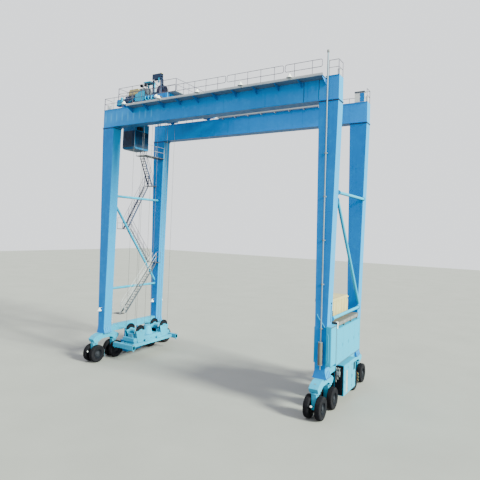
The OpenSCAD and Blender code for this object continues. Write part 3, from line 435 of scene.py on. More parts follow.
class Form:
    """A mesh in the making. Each solid added takes the material in use, which is the first until use()."""

    def __init__(self, *materials):
        self.verts, self.faces, self.index = [], [], []
        self.materials = materials
        self.slot = 0
        self.place = Matrix.Identity(4)

    def use(self, material):
        self.slot = self.materials.index(material)

    def add(self, verts, faces):
        first = len(self.verts)
        self.verts += [self.place @ Vector(v) for v in verts]
        self.faces += [[first + i for i in f] for f in faces]
        self.index += [self.slot] * len(faces)

    def box(self, lo, hi, cut=0.0):
        """A box between two corners, its edges chamfered by cut."""
        lo, hi = [min(a, b) for a, b in zip(lo, hi)], [max(a, b) for a, b in zip(lo, hi)]
        signs = [(x, y, z) for x in (0, 1) for y in (0, 1) for z in (0, 1)]
        if not cut:
            self.add([[(lo, hi)[s[i]][i] for i in range(3)] for s in signs], BOX_FACES)
            return
        cut = min([cut] + [(b - a) * 0.4 for a, b in zip(lo, hi)])
        verts, at = [], {}
        for s in signs:
            corner = [(lo, hi)[s[i]][i] for i in range(3)]
            inward = [cut if s[i] == 0 else -cut for i in range(3)]
            for face_axis in range(3):
                at[s, face_axis] = len(verts)
                verts.append([corner[i] + (0 if i == face_axis else inward[i]) for i in range(3)])
        faces = []
        for axis in range(3):
            u, v = [i for i in range(3) if i != axis]
            for side in (0, 1):
                ring = []
                for du, dv in ((0, 0), (1, 0), (1, 1), (0, 1)):
                    s = [0, 0, 0]
                    s[axis], s[u], s[v] = side, du, dv
                    ring.append(at[tuple(s), axis])
                faces.append(ring)
            for du in (0, 1):
                for dv in (0, 1):
                    a, b = [0, 0, 0], [0, 0, 0]
                    a[u] = b[u] = du
                    a[v] = b[v] = dv
                    b[axis] = 1
                    faces.append([at[tuple(a), u], at[tuple(b), u], at[tuple(b), v], at[tuple(a), v]])
        faces += [[at[s, 0], at[s, 1], at[s, 2]] for s in signs]
        self.add(verts, faces)

    def row(self, lo, hi, step, count, cut=0.0):
        """Boxes alike, each one step on from the last."""
        for k in range(count):
            self.box(*([a + d * k for a, d in zip(corner, step)] for corner in (lo, hi)), cut)

    def prism(self, outline, axis, lo, hi):
        """A flat outline pulled along axis from lo to hi. Its two numbers are the other axes in order."""
        def point(p, a):
            v = [p[0], p[1]]
            v.insert("xyz".index(axis), a)
            return v

        n = len(outline)
        verts = [point(p, lo) for p in outline] + [point(p, hi) for p in outline]
        sides = [(i, (i + 1) % n, n + (i + 1) % n, n + i) for i in range(n)]
        self.add(verts, [list(range(n))[::-1], list(range(n, 2 * n))] + sides)

    def rings(self, rings, closed=False):
        """Joins rings of points one after another, with an end face on the first and the last."""
        n, count = len(rings[0]), len(rings)
        faces = []
        for k in range(count if closed else count - 1):
            a, b = k * n, (k + 1) % count * n
            faces += [(a + i, a + (i + 1) % n, b + (i + 1) % n, b + i) for i in range(n)]
        if not closed:
            faces += [list(range(n))[::-1], list(range((count - 1) * n, count * n))]
        self.add([p for ring in rings for p in ring], faces)

    def tube(self, points, radius, sides=10, closed=False):
        """A round tube along a line of points, mitred at the bends."""
        points = [Vector(p) for p in points]
        n = len(points)

        def heading(i):
            before = points[i] - points[i - 1] if i or closed else points[1] - points[0]
            after = points[(i + 1) % n] - points[i] if i < n - 1 or closed else before
            return before.normalized(), after.normalized()

        side = sideways(heading(0)[1])
        rings = []
        for i, p in enumerate(points):
            before, after = heading(i)
            mid = (before + after).normalized() if (before + after).length > 1e-6 else after
            side = (side - mid * side.dot(mid)).normalized()
            over = mid.cross(side)
            widen = 1 / max(0.35, mid.dot(after))
            bend = after - before
            bend = bend.normalized() if bend.length > 1e-6 else None
            ring = []
            for c, t in round_steps(sides):
                off = (side * c + over * t) * radius
                if bend is not None:
                    off += bend * off.dot(bend) * (widen - 1)
                ring.append(p + off)
            rings.append(ring)
        self.rings(rings, closed)

    def rod(self, p, q, radius, sides=16):
        self.tube([p, q], radius, sides)

    def pin(self, x, y, z, half, radius, sides=10):
        """An upright rod, by its middle and half its length."""
        self.rod((x, y, z - half), (x, y, z + half), radius, sides)

    def lathe(self, outline, origin, axis, sides=48, ring=False):
        """Turns an outline of (radius, distance along axis) round axis. ring closes it on itself."""
        origin, axis = Vector(origin), Vector(axis).normalized()
        side = sideways(axis)
        over = axis.cross(side)
        steps = round_steps(sides)
        rings = [[origin + axis * a + (side * c + over * t) * max(r, 1e-4) for c, t in steps]
                 for r, a in outline]
        self.rings(rings, ring)

    def bolt(self, at, normal, radius=0.016, height=0.014):
        """A hexagon head on its washer."""
        at, normal = Vector(at), Vector(normal)
        self.rod(at, at + normal * height * 0.3, radius * 1.35, 12)
        self.rod(at + normal * height * 0.3, at + normal * height * 1.3, radius, 6)

    def bolt_circle(self, centre, normal, circle, count, radius=0.016, height=0.014):
        centre, normal = Vector(centre), Vector(normal).normalized()
        side = sideways(normal)
        over = normal.cross(side)
        for c, t in round_steps(count, 0.5):
            self.bolt(centre + (side * c + over * t) * circle, normal, radius, height)

    def mesh(self, name):
        mesh = bpy.data.meshes.new(name)
        mesh.from_pydata([tuple(v) for v in self.verts], [], self.faces)
        for m in self.materials:
            mesh.materials.append(M[m])
        mesh.polygons.foreach_set("material_index", self.index)
        bm = bmesh.new()
        bm.from_mesh(mesh)
        bmesh.ops.recalc_face_normals(bm, faces=bm.faces)
        bm.to_mesh(mesh)
        bm.free()
        mesh.polygons.foreach_set("use_smooth", [True] * len(mesh.polygons))
        mesh.set_sharp_from_angle(angle=math.radians(32))
        return mesh


def stand(name, mesh, body, at=(0, 0, 0), replaces=()):
    """Puts a mesh in the scene as one piece on a CAD body."""
    obj = bpy.data.objects.new(name, mesh)
    obj.matrix_world = Matrix.Translation(at)
    bpy.context.scene.collection.objects.link(obj)
    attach(obj, body)
    if replaces:
        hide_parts(*replaces)
    return obj


def piece(name, form, body, replaces=()):
    return stand(name, form.mesh(name), body, replaces=replaces)


def corner_name(sx, sy):
    return f"{SIDE_NAME[sx]}_{END_NAME[sy]}"


def up_leg(z, foot, head):
    """A measure of the tapered leg at height z, between what it is at the foot and at the head."""
    return foot + (head - foot) * max(0.0, z - LEG_TAPER_Z) / (LEG_HEAD_Z - LEG_TAPER_Z)


def leg_half_depth(z):
    return up_leg(z, LEG_FOOT_D / 2, GIRDER_W / 2)


def leg_inner_x(z):
    return up_leg(z, LEG_IN_X, LEG_TOP_IN_X)


def leg_outer_x(z):
    return up_leg(z, LEG_FOOT_X, GIRDER_X)


def paint_frame():
    """The CAD nodes that stay take their detailed finishes."""
    by_slot = {"blue_paint": "blue", "light_blue_paint": "light", "galvanised_steel": "galvanised",
               "rail_steel": "rail", "wire_rope": "rope", "dark_steel": "dark", "cream_paint": "cream",
               "white_paint": "white", "tyre_rubber": "rubber", "cab_glass": "glass"}
    # Painted shade: stair flights 2 to 4 take dark and navy steel for the shade they stand in, while the
    # lowest flight keeps its lighter finish.
    special = {"cab": "cab", "front_girder": "girder", "rear_girder": "rear", "walkways": "walkway",
               "trolley_deck": "plate", "mast_pipe": "pipe", "stair_landings": "dark_plate",
               "stair_flight_2": "dark", "stair_flight_3": "navy", "stair_flight_4": "navy"}
    for part in frame["record"]["subparts"]:
        node = NODES[part["node"]]
        node.data.materials.clear()
        node.data.materials.append(M[special.get(part["node"], by_slot[part["material_slot"]])])


# Half of a tyre's outline, as (radius, distance from its middle), from the crown to the bead
TYRE_HALF = [(0.738, 0.0), (0.738, 0.028), (0.722, 0.032), (0.722, 0.046), (0.737, 0.050), (0.735, 0.092),
             (0.719, 0.096), (0.719, 0.108), (0.730, 0.112), (0.722, 0.145), (0.690, 0.172), (0.640, 0.185),
             (0.632, 0.190), (0.600, 0.190), (0.592, 0.187), (0.520, 0.188), (0.455, 0.178), (0.448, 0.181),
             (0.430, 0.179), (0.395, 0.165), (0.368, 0.150)]
TREADS = 44


def wheel_mesh():
    """A pair of tyres on dished rims with hub bolts, and the axle between them. Its middle is the origin."""
    f = Form("rubber", "black", "hub")
    middle = (TYRE_IN + TYRE_OUT) / 2
    ring = TYRE_HALF + [(0.36, 0.13), (0.36, -0.13)] + [(r, -a) for r, a in TYRE_HALF[:0:-1]]
    for side in (-1, 1):
        f.use("rubber")
        f.lathe(ring, (side * middle, 0, 0), (1, 0, 0), 64, ring=True)
        x = side * middle
        for k in range(TREADS):
            for s in (-1, 1):
                f.place = Matrix.Rotation(2 * math.pi * (k + (0.25 if s > 0 else 0.75)) / TREADS, 4, "X")
                f.prism([(0.716, -0.018), (0.716, 0.018), (0.731, 0.015), (0.731, -0.015)][::-1], "x",
                        x + s * 0.1, x + s * 0.140)
                f.prism([(0.690, -0.018), (0.690, 0.018), (0.716, 0.016), (0.716, -0.016)], "x",
                        x + s * 0.145, x + s * 0.172)
        f.place = Matrix.Identity(4)
        f.use("black")
        out = side * TYRE_OUT
        f.lathe([(0.385, -0.018), (0.392, -0.004), (0.384, 0.0), (0.366, -0.004), (0.352, -0.03),
                 (0.340, -0.075), (0.322, -0.095), (0.300, -0.1), (0.280, -0.112), (0.235, -0.124),
                 (0.225, -0.118), (0.216, -0.118), (0.216, -0.3), (0.365, -0.36), (0.385, -0.35),
                 (0.385, -0.335), (0.366, -0.32), (0.352, -0.28), (0.352, -0.06)], (out, 0, 0), (side, 0, 0),
                48, ring=True)
        f.use("hub")
        f.lathe([(0.0, -0.025), (0.062, -0.026), (0.078, -0.032), (0.084, -0.042), (0.100, -0.046),
                 (0.118, -0.052), (0.122, -0.085), (0.132, -0.100), (0.200, -0.104), (0.222, -0.112),
                 (0.222, -0.2), (0.0, -0.2)], (out, 0, 0), (side, 0, 0), 40)
        f.bolt_circle((out - side * 0.106, 0, 0), (side, 0, 0), 0.168, 10, 0.015, 0.016)
        f.bolt_circle((out - side * 0.028, 0, 0), (side, 0, 0), 0.045, 5, 0.006, 0.005)
        f.rod((out - side * 0.10, 0.305, 0.02), (out - side * 0.055, 0.318, 0.02), 0.006, 8)
    f.use("hub")
    f.rod((-0.4, 0, 0), (0.4, 0, 0), 0.09, 32)
    return f.mesh("wheel_pair")


def wheels():
    mesh = wheel_mesh()
    for sx, sy in CORNERS:
        for s, k in ((-1, "a"), (1, "b")):
            name = f"{corner_name(sx, sy)}_{k}"
            at = (sx * HALF_SPAN, sy * HALF_PITCH + s * WHEEL_Y, TYRE_R)
            stand(f"wheel_pair_{name}", mesh, f"wheels_{name}", at,
                  replaces=[f"wheels_{name}"])


def yoke_details():
    """Bolts of the slewing disc and hub, gussets and striped plate of each yoke, and every other's lamp."""
    for sx, sy in CORNERS:
        guard = 1 if sy < 0 else -1
        for s, k in ((-1, "a"), (1, "b")):
            f = Form("light", "bolt", "hazard", "dark", "lamp")
            name = f"{corner_name(sx, sy)}_{k}"
            f.place = Matrix.Translation((sx * HALF_SPAN, sy * HALF_PITCH + s * WHEEL_Y, 0))
            f.use("bolt")
            for side in (-1, 1):
                f.bolt_circle((side * 0.165, 0, TYRE_R), (side, 0, 0), 0.16, 8, 0.013, 0.012)
            f.bolt_circle((0, 0, 1.615), (0, 0, -1), 0.285, 16, 0.014, 0.012)
            f.use("light")
            for side in (-1, 1):
                f.prism([(side * 0.165, 1.615), (side * 0.285, 1.615), (side * 0.165, 1.46)], "y",
                        -0.02, 0.02)
                f.prism([(-0.165, 1.0), (0.165, 1.0), (0.13, 1.32), (-0.13, 1.32)], "x",
                        side * 0.165, side * 0.177)
            y = guard * 0.8
            f.use("hazard")
            f.box((-0.447, y + guard * 0.0152, 0.253), (0.447, y + guard * 0.0182, 0.947))
            f.box((-0.447, y - 0.0032 * guard, 0.253), (0.447, y - 0.0002 * guard, 0.947))
            f.use("dark")
            for x in (-0.44, 0.44):
                f.rod((x, y, 0.25), (x, y, 0.95), 0.011, 10)
            for z in (0.26, 0.94):
                f.rod((-0.45, y, z), (0.45, y, z), 0.011, 10)
            f.use("bolt")
            for x in (-0.09, 0.09):
                for z in (0.53, 0.57):
                    f.bolt((x, y + guard * 0.0182, z), (0, guard, 0), 0.010, 0.009)
            if s * sy > 0:
                away = -guard
                f.use("dark")
                f.tube([(0, away * 0.2, 0.86), (0, away * 0.5, 0.9), (0, away * 0.68, 0.98)], 0.02)
                f.lathe([(0.0, 0.0), (0.035, 0.0), (0.07, 0.045), (0.085, 0.05), (0.085, 0.065),
                         (0.075, 0.07), (0.0, 0.07)], (0, away * 0.64, 0.99), (0, away, -0.12), 24)
                f.use("lamp")
                f.lathe([(0.0, 0.0), (0.074, 0.0), (0.06, 0.018), (0.0, 0.026)], (0, away * 0.711, 0.981),
                        (0, away, -0.12), 24)
            piece(f"yoke_fittings_{name}", f, f"yoke_{name}")


def rail_panel(f, p, q, posts, height=RAIL_H, foot_plate=True, lift=0.0, inset=0.0):
    """A handrail panel of round tube over the line from p to q, as the CAD panel stands, with foot plates.
    With an inset the posts stand in from the ends and the rails close in a loop with round corners."""
    p, q, r = Vector(p), Vector(q), TUBE_D / 2
    along = (q - p).normalized()
    for i in range(posts):
        foot = p + along * (inset + ((q - p).length - 2 * inset) * i / (posts - 1))
        f.rod(foot + UP * lift, foot + UP * (height - 0.004), r * 0.9, 12)
        if foot_plate:
            f.box(foot + Vector((-0.04, -0.04, 0)), foot + Vector((0.04, 0.04, 0.008)))
    low, high = height * 0.52, height
    if inset:
        loop, bend = [], 0.11
        for end, dx, dz, a in ((p, 1, -1, 180), (q, -1, -1, 90), (q, -1, 1, 0), (p, 1, 1, 270)):
            level = high if dz < 0 else low
            centre = end + along * dx * bend + UP * (level + dz * bend)
            for k in range(5):
                t = math.radians(a - 22.5 * k)
                loop.append(centre + along * math.cos(t) * bend + UP * math.sin(t) * bend)
        f.tube(loop, r * 0.95, 12, closed=True)
        return
    f.tube([p + UP * high, q + UP * high], r, 12)
    f.tube([p + UP * low, q + UP * low], r * 0.8, 12)
    for end in (p, q):
        f.lathe([(0.0, -0.012), (0.017, -0.008), (r * 1.12, 0.0), (r * 1.12, 0.022), (0.0, 0.024)],
                end + UP * (height - 0.012), UP, 14)


def handrails():
    """The handrails of both walkways, of the girders' ends and of the trolley deck."""
    for s, node in ((-1, "front_handrail"), (1, "rear_handrail")):
        f = Form("railing")
        y = s * (WALK_OUT - TUBE_D)
        breaks = [WALK_LEFT, -2.07, 2.7, 7.47, WALK_RIGHT[s]]
        for a, b in zip(breaks, breaks[1:]):
            a, b = a + 0.065, b - 0.065
            rail_panel(f, (a, y, WALK_Z), (b, y, WALK_Z), round((b - a) / 1.15), inset=0.7)
        piece(f"walkway_rails_{END_NAME[s]}", f, "portal", [node])
    f = Form("railing")
    out_y = HALF_PITCH + GIRDER_W / 2 - TUBE_D
    in_y = HALF_PITCH - GIRDER_W / 2 + TUBE_D
    for sx, sy in CORNERS:
        x0 = WALK_LEFT - 0.06 if sx < 0 else WALK_RIGHT[sy] + 0.12
        x1 = sx * (GIRDER_X - TUBE_D)
        rail_panel(f, (x0, sy * out_y, GIRDER_TOP), (x1, sy * out_y, GIRDER_TOP), 4 if sx < 0 else 2)
        rail_panel(f, (x1, sy * (out_y - TUBE_D - 0.001), GIRDER_TOP), (x1, sy * in_y, GIRDER_TOP), 2)
    piece("girder_end_rails", f, "portal", ["end_railings"])
    f = Form("railing")
    y = HALF_PITCH + 0.1 - TUBE_D
    x0, x1 = TROLLEY_X[0] + TUBE_D, DECK_RIGHT - TUBE_D
    z = DECK_TOP + 0.0003
    for s in (-1, 1):
        rail_panel(f, (x0, s * y, z), (x1, s * y, z), 5)
    for x in (x0, x1):
        rail_panel(f, (x, -y + TUBE_D + 0.001, z), (x, y - TUBE_D - 0.001, z), 5)
    piece("trolley_rails_round", f, "trolley", ["trolley_handrail"])


def joint_bolts():
    """Bolts on the flange plates at every leg's foot and head, gussets, and a navy band under the head that
    paints the shadow beneath its flange.
    """
    f = Form("blue", "bolt", "navy")
    for sx, sy in CORNERS:
        y0 = sy * HALF_PITCH
        for x in (LEG_IN_X - 0.13, LEG_FOOT_X + 0.13):
            for k in range(6):
                y = y0 - 0.37 + k * 0.148
                f.use("bolt")
                f.bolt((sx * x, y, FOOT_Z), UP, 0.017, 0.018)
                f.bolt((sx * x, y, BASE_Z), (0, 0, -1), 0.017, 0.018)
        f.use("blue")
        for x, lean in ((LEG_IN_X, -1), (LEG_FOOT_X, 1)):
            for k in (-0.26, 0.0, 0.26):
                f.prism([(sx * (x + lean * 0.1), FOOT_Z), (sx * (x + lean * 0.15), FOOT_Z),
                         (sx * (x + lean * 0.04), FOOT_Z + 0.42), (sx * (x + lean * 0.005), FOOT_Z + 0.44)],
                        "y", y0 + k - 0.008, y0 + k + 0.008)
        f.use("bolt")
        for k in range(8):
            x = LEG_TOP_IN_X + 0.06 + k * (GIRDER_X - LEG_TOP_IN_X - 0.12) / 7
            for s in (-1, 1):
                y = y0 + s * (GIRDER_W / 2 + 0.022)
                f.bolt((sx * x, y, LEG_HEAD_Z), (0, 0, -1), 0.014, 0.014)
        for k in range(6):
            y = y0 - 0.38 + k * 0.152
            for x in (LEG_TOP_IN_X - 0.022, GIRDER_X + 0.022):
                f.bolt((sx * x, y, LEG_HEAD_Z), (0, 0, -1), 0.014, 0.014)
        f.use("blue")
        for k in range(5):
            x = LEG_TOP_IN_X + 0.12 + k * (GIRDER_X - LEG_TOP_IN_X - 0.24) / 4
            for s in (-1, 1):
                f.prism([(y0 + s * 0.43, LEG_HEAD_Z - 0.14), (y0 + s * 0.43, LEG_HEAD_Z),
                         (y0 + s * 0.505, LEG_HEAD_Z)], "x", sx * x - 0.008, sx * x + 0.008)
        # Painted shadow: a navy band round each leg just under its head flange.
        f.use("navy")
        low, high = LEG_HEAD_Z - 0.085, LEG_HEAD_Z - 0.001
        ends = sorted((sx * (LEG_TOP_IN_X - 0.006), sx * (GIRDER_X + 0.004)))
        for s in (-1, 1):
            f.box((ends[0], y0 + s * 0.465, low), (ends[1], y0 + s * 0.475, high))
        for x in ends:
            f.box((x - 0.001, y0 - 0.475, low), (x + 0.001, y0 + 0.475, high))
    piece("flange_bolts", f, "portal")


def weld_seams():
    """Raised butt welds round the girders and legs, and two dark seams at the right end."""
    f = Form("blue", "navy")
    w, proud = 0.43, 0.0045
    for sy in (-1, 1):
        y = sy * HALF_PITCH
        for x in (-5.2, 0.4, 5.6, 8.9, 9.75):
            f.box((x - 0.011, y - w - proud, GIRDER_LOW + 0.03),
                  (x + 0.011, y + w + proud, GIRDER_TOP - 0.03), 0.004)
    for sx, sy in CORNERS:
        y = sy * HALF_PITCH
        for z in (5.9, 9.6, 13.4, 17.2):
            hd = leg_half_depth(z) + proud
            f.box((sx * (leg_inner_x(z) - proud), y - hd, z - 0.011),
                  (sx * (leg_outer_x(z) + proud), y + hd, z + 0.011), 0.004)
    f.use("navy")
    for x in (8.62, 9.735):
        y = -HALF_PITCH - w
        f.box((x - 0.02, y - 0.006, GIRDER_LOW + 0.03), (x + 0.02, y + 0.001, GIRDER_TOP - 0.16), 0.002)
    piece("weld_seams", f, "portal")


def hoist_ropes():
    """The eight rope falls between the drum and the head block."""
    f = Form("rope")
    length, radius, steps = DRUM_Z - SHEAVE_Z, 0.013, 12
    for sx, sy in CORNERS:
        for side in (-1, 1):
            x, y = HOIST_X + sx * SHEAVE_X, sy * SHEAVE_Y + side * FALL_Y
            f.rings([[(x + radius * c, y + radius * t, SHEAVE_Z + length * k / steps)
                      for c, t in round_steps(12)] for k in range(steps + 1)])
    ropes = piece("rope_falls", f, "trolley", ["hoist_ropes"])
    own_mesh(ropes)


def motor(f, at, axis, radius, length, paint, metal):
    """A finned electric motor with its fan cowl and terminal box."""
    at, axis = Vector(at), Vector(axis).normalized()
    f.use(paint)
    outline = [(0.0, 0.0), (radius * 0.5, 0.0), (radius, length * 0.04), (radius, length * 0.1)]
    for k in range(9):
        a = length * (0.12 + 0.06 * k)
        outline += [(radius * 0.93, a), (radius * 0.93, a + length * 0.03), (radius, a + length * 0.032),
                    (radius, a + length * 0.05)]
    outline += [(radius, length * 0.72), (radius * 1.04, length * 0.74), (radius * 1.04, length * 0.95),
                (radius * 0.9, length), (0.0, length)]
    f.lathe(outline, at, axis, 28)
    f.use(metal)
    f.lathe([(0.0, 0.0), (radius * 0.75, 0.0), (radius * 0.75, 0.004), (0.0, 0.004)], at + axis * length,
            axis, 24)
    top = at + axis * length * 0.35 + Vector((0, 0, radius * 0.9))
    f.use(paint)
    f.box(top - Vector((0.09, 0.09, 0)), top + Vector((0.09, 0.09, 0.13)), 0.012)


def hoist_machinery():
    """The grooved rope drum and its bearings, gearbox, motor, canopy, two pump sets and two lamps."""
    f = Form("cream", "dark", "bolt", "light")
    f.place = Matrix.Translation((HOIST_X, 0, DECK_TOP))
    r, drum_z = 0.587, DRUM_Z - DECK_TOP
    reach = SHEAVE_Y + FALL_Y + 0.08
    f.use("dark")
    outline = [(0.0, -reach), (r, -reach), (r, -reach + 0.03)]
    for start in (-2.18, -1.28, 0.85, 1.75):
        outline += [(r - 0.012, start), (r - 0.012, start + 0.02)]
        for k in range(12):
            a = start + 0.03 + k * 0.03
            outline += [(r - 0.018, a), (r - 0.004, a + 0.015)]
        outline += [(r - 0.012, start + 0.40), (r, start + 0.42)]
    outline += [(r, reach), (0.0, reach)]
    f.lathe(outline, (0, 0, drum_z), (0, 1, 0), 64)
    arc = [(0.35 * math.cos(t), drum_z + 0.35 * math.sin(t)) for t in (math.pi * k / 20 for k in range(21))]
    for s in (-1, 1):
        y0 = s * (reach + 0.004)
        y1 = s * (reach + 0.3)
        f.use("cream")
        f.prism([(-0.45, 0), (0.45, 0)] + arc, "y", y0, y1)
        f.lathe([(0.0, 0.0), (0.2, 0.0), (0.22, 0.02), (0.22, 0.04), (0.0, 0.05)],
                (0, s * (reach + 0.296), drum_z), (0, s, 0), 32)
        f.use("bolt")
        f.bolt_circle((0, s * (reach + 0.3), drum_z), (0, s, 0), 0.27, 12, 0.014, 0.010)
        for x in (-0.4, 0.4):
            f.box((x - 0.05, s * (reach + 0.04), 0), (x + 0.05, s * (reach + 0.26), 0.04), 0.004)
    gy0, gy1 = -reach - 0.3 - 0.579, -reach - 0.3
    f.use("cream")
    f.prism([(-0.63, 0), (0.63, 0), (0.65, 0.1), (0.63, 0.75), (0.48, 0.93), (-0.48, 0.93), (-0.63, 0.75),
             (-0.65, 0.1)], "y", gy0 + 0.02, gy1)
    f.box((-0.65, gy0, 0.44), (0.65, gy1, 0.50), 0.008)
    for k, x in enumerate((-0.36, 0.02, 0.38)):
        f.lathe([(0.0, 0.0), (0.15, 0.0), (0.15, 0.012), (0.09, 0.02), (0.0, 0.02)],
                (x, gy0 + 0.022, 0.47 + 0.05 * (k % 2)), (0, -1, 0), 28)
    f.use("bolt")
    for k in range(9):
        x = -0.6 + 0.15 * k
        f.bolt((x, gy0 + 0.012, 0.50), UP, 0.011, 0.014)
        f.bolt((x, gy1 - 0.012, 0.50), UP, 0.011, 0.014)
    f.use("dark")
    for k, x in enumerate((-0.42, -0.06, 0.3)):
        f.rod((x, gy0 + 0.3, 0.92), (x, gy0 + 0.3, 0.95), 0.06 + 0.02 * (k % 2), 18)
    my, mz = gy0 + 0.289, 0.55
    motor(f, (0.65, my, mz), (1, 0, 0), 0.327, 1.0, "dark", "dark")
    f.use("light")
    f.box((0.8, my - 0.2, 0), (1.5, my + 0.2, mz - 0.25), 0.015)
    for x in (1.1, 1.8):
        f.box((x, -2.36, 0), (x + 0.06, -2.3, 1.36), 0.006)
        f.prism([(-2.36, 1.0), (-2.36, 1.36), (-2.8, 1.36)], "x", x + 0.02, x + 0.04)
    f.box((1.05, -3.0, 1.35), (1.88, -2.28, 1.45), 0.012)
    for y in (-1.5, 0.3):
        x0 = 1.0
        f.use("light")
        f.box((x0, y, 0), (x0 + 0.7, y + 1.2, 0.08), 0.01)
        f.use("cream")
        f.prism([(x0 + 0.03, 0.08), (x0 + 0.67, 0.08), (x0 + 0.67, 0.5), (x0 + 0.52, 0.78), (x0 + 0.2, 0.78),
                 (x0 + 0.03, 0.55)], "y", y + 0.03, y + 0.4)
        f.box((x0, y + 0.02, 0.3), (x0 + 0.7, y + 0.41, 0.33), 0.006)
        motor(f, (x0 + 0.35, y + 0.52, 0.42), (0, 1, 0), 0.24, 0.66, "light", "bolt")
        f.use("bolt")
        f.lathe([(0.0, 0.0), (0.17, 0.0), (0.17, 0.03), (0.09, 0.035), (0.09, 0.08), (0.17, 0.085),
                 (0.17, 0.11), (0.0, 0.11)], (x0 + 0.35, y + 0.405, 0.42), (0, 1, 0), 28)
        for dx in (0.06, 0.64):
            for dy in (0.1, 0.34, 0.6, 1.1):
                f.bolt((x0 + dx, y + dy, 0.08), UP, 0.014, 0.014)
    piece("hoist_drum_and_drive", f, "trolley", ["hoist_machinery"])
    f = Form("white", "black", "dark")
    for x in (-7.55, -7.05):
        f.use("dark")
        f.rod((x, -2.8, DECK_TOP + 0.9), (x, -2.8, DECK_TOP + 1.12), 0.02, 10)
        f.use("white")
        f.lathe([(0.0, 0.0), (0.1, 0.0), (0.12, 0.03), (0.12, 0.13), (0.09, 0.17), (0.0, 0.17)],
                (x + 0.05, -2.72, DECK_TOP + 1.18), (0, -1, -0.1), 28)
        f.use("black")
        f.lathe([(0.0, 0.0), (0.145, 0.0), (0.15, 0.02), (0.14, 0.05), (0.0, 0.06)],
                (x, -2.9, DECK_TOP + 1.18), (0.3, -1, -0.1), 28)
    piece("machinery_lamps", f, "trolley")


def cable_reel():
    """The cable reel with spokes and wound cable, and the guide tower with its rollers in front of it."""
    f = Form("navy", "black", "light", "cream", "violet", "railing")
    x, y, z = TROLLEY_X[1] - 1.64, -HALF_PITCH + 1.035, DECK_TOP + 0.58
    f.use("navy")
    for s in (-1, 1):
        f.lathe([(0.53, 0.0), (0.55, 0.006), (0.55, 0.014), (0.53, 0.02), (0.50, 0.016), (0.50, 0.004)],
                (x, y + s * 0.13, z), (0, s, 0), 48, ring=True)
        f.use("violet")
        f.lathe([(0.12, 0.004), (0.505, 0.004), (0.505, 0.010), (0.12, 0.010)], (x, y + s * 0.13, z),
                (0, s, 0), 48, ring=True)
        f.use("railing")
        for c, t in round_steps(10):
            f.rod((x + c * 0.1, y + s * 0.14, z + t * 0.1),
                  (x + c * 0.53, y + s * 0.14, z + t * 0.53), 0.012, 8)
        f.use("navy")
        f.lathe([(0.0, 0.0), (0.14, 0.0), (0.14, 0.02), (0.07, 0.03), (0.07, 0.05), (0.0, 0.05)],
                (x, y + s * 0.10, z), (0, s, 0), 28)
    f.use("black")
    wound = []
    for k in range(9):
        a = -0.115 + 0.0288 * k
        wound += [(0.41, a - 0.013), (0.424, a)]
    f.lathe([(0.2, -0.125)] + wound + [(0.41, 0.125), (0.2, 0.125)], (x, y, z), (0, 1, 0), 48, ring=True)
    f.use("navy")
    f.prism([(x - 0.2, DECK_TOP), (x + 0.2, DECK_TOP), (x + 0.08, z + 0.08), (x - 0.08, z + 0.08)], "y",
            y + 0.16, y + 0.3)
    motor(f, (x, y + 0.3, z), (0, 1, 0), 0.11, 0.3, "light", "navy")
    f.use("navy")
    y0, top = y - 0.5, DECK_TOP + 1.5
    for px in (x - 0.71, x + 0.17):
        f.box((px, y0, DECK_TOP), (px + 0.12, y0 + 0.12, top), 0.008)
        f.box((px - 0.06, y0 - 0.06, DECK_TOP), (px + 0.18, y0 + 0.18, DECK_TOP + 0.015), 0.003)
    f.box((x - 0.59, y0 + 0.04, DECK_TOP + 0.05), (x + 0.17, y0 + 0.06, DECK_TOP + 0.42), 0.004)
    f.tube([(x - 0.65, y0 + 0.06, DECK_TOP + 1.4), (x + 0.23, y0 + 0.06, DECK_TOP + 0.6)], 0.02)
    for k in range(3):
        px = x + 0.34 + 0.05 * k
        f.tube([(px - 0.2, y0 + 0.1, top + 0.1), (px, y0 + 0.1, top - 0.1), (px, y0 + 0.12, z + 0.2),
                (px - 0.1, y0 + 0.3, z)], 0.03)
    for k in range(4):
        for h, r in ((0.12, 0.06), (0.34, 0.05)):
            cx = x - 0.6 + 0.26 * k + h * 0.1
            f.rod((cx, y - 0.545, top + h), (cx, y - 0.275, top + h), r, 18)
    for s in (-0.56, -0.275):
        f.box((x - 0.71, y + s, top), (x + 0.29, y + s + 0.015, top + 0.5), 0.004)
    f.use("cream")
    f.box((x - 0.7, y - 0.55, top + 0.49), (x + 0.28, y - 0.27, top + 0.51), 0.006)
    for px in (x - 0.66, x + 0.2):
        f.lathe([(0.0, 0.0), (0.04, 0.0), (0.08, 0.03), (0.075, 0.05), (0.0, 0.04)],
                (px, y - 0.42, top + 0.505), UP, 20)
    f.use("light")
    f.box((x - 0.02, y - 0.562, top - 0.35), (x + 0.14, y - 0.545, top + 0.12), 0.004)
    piece("reel_and_guide", f, "trolley", ["cable_reel"])


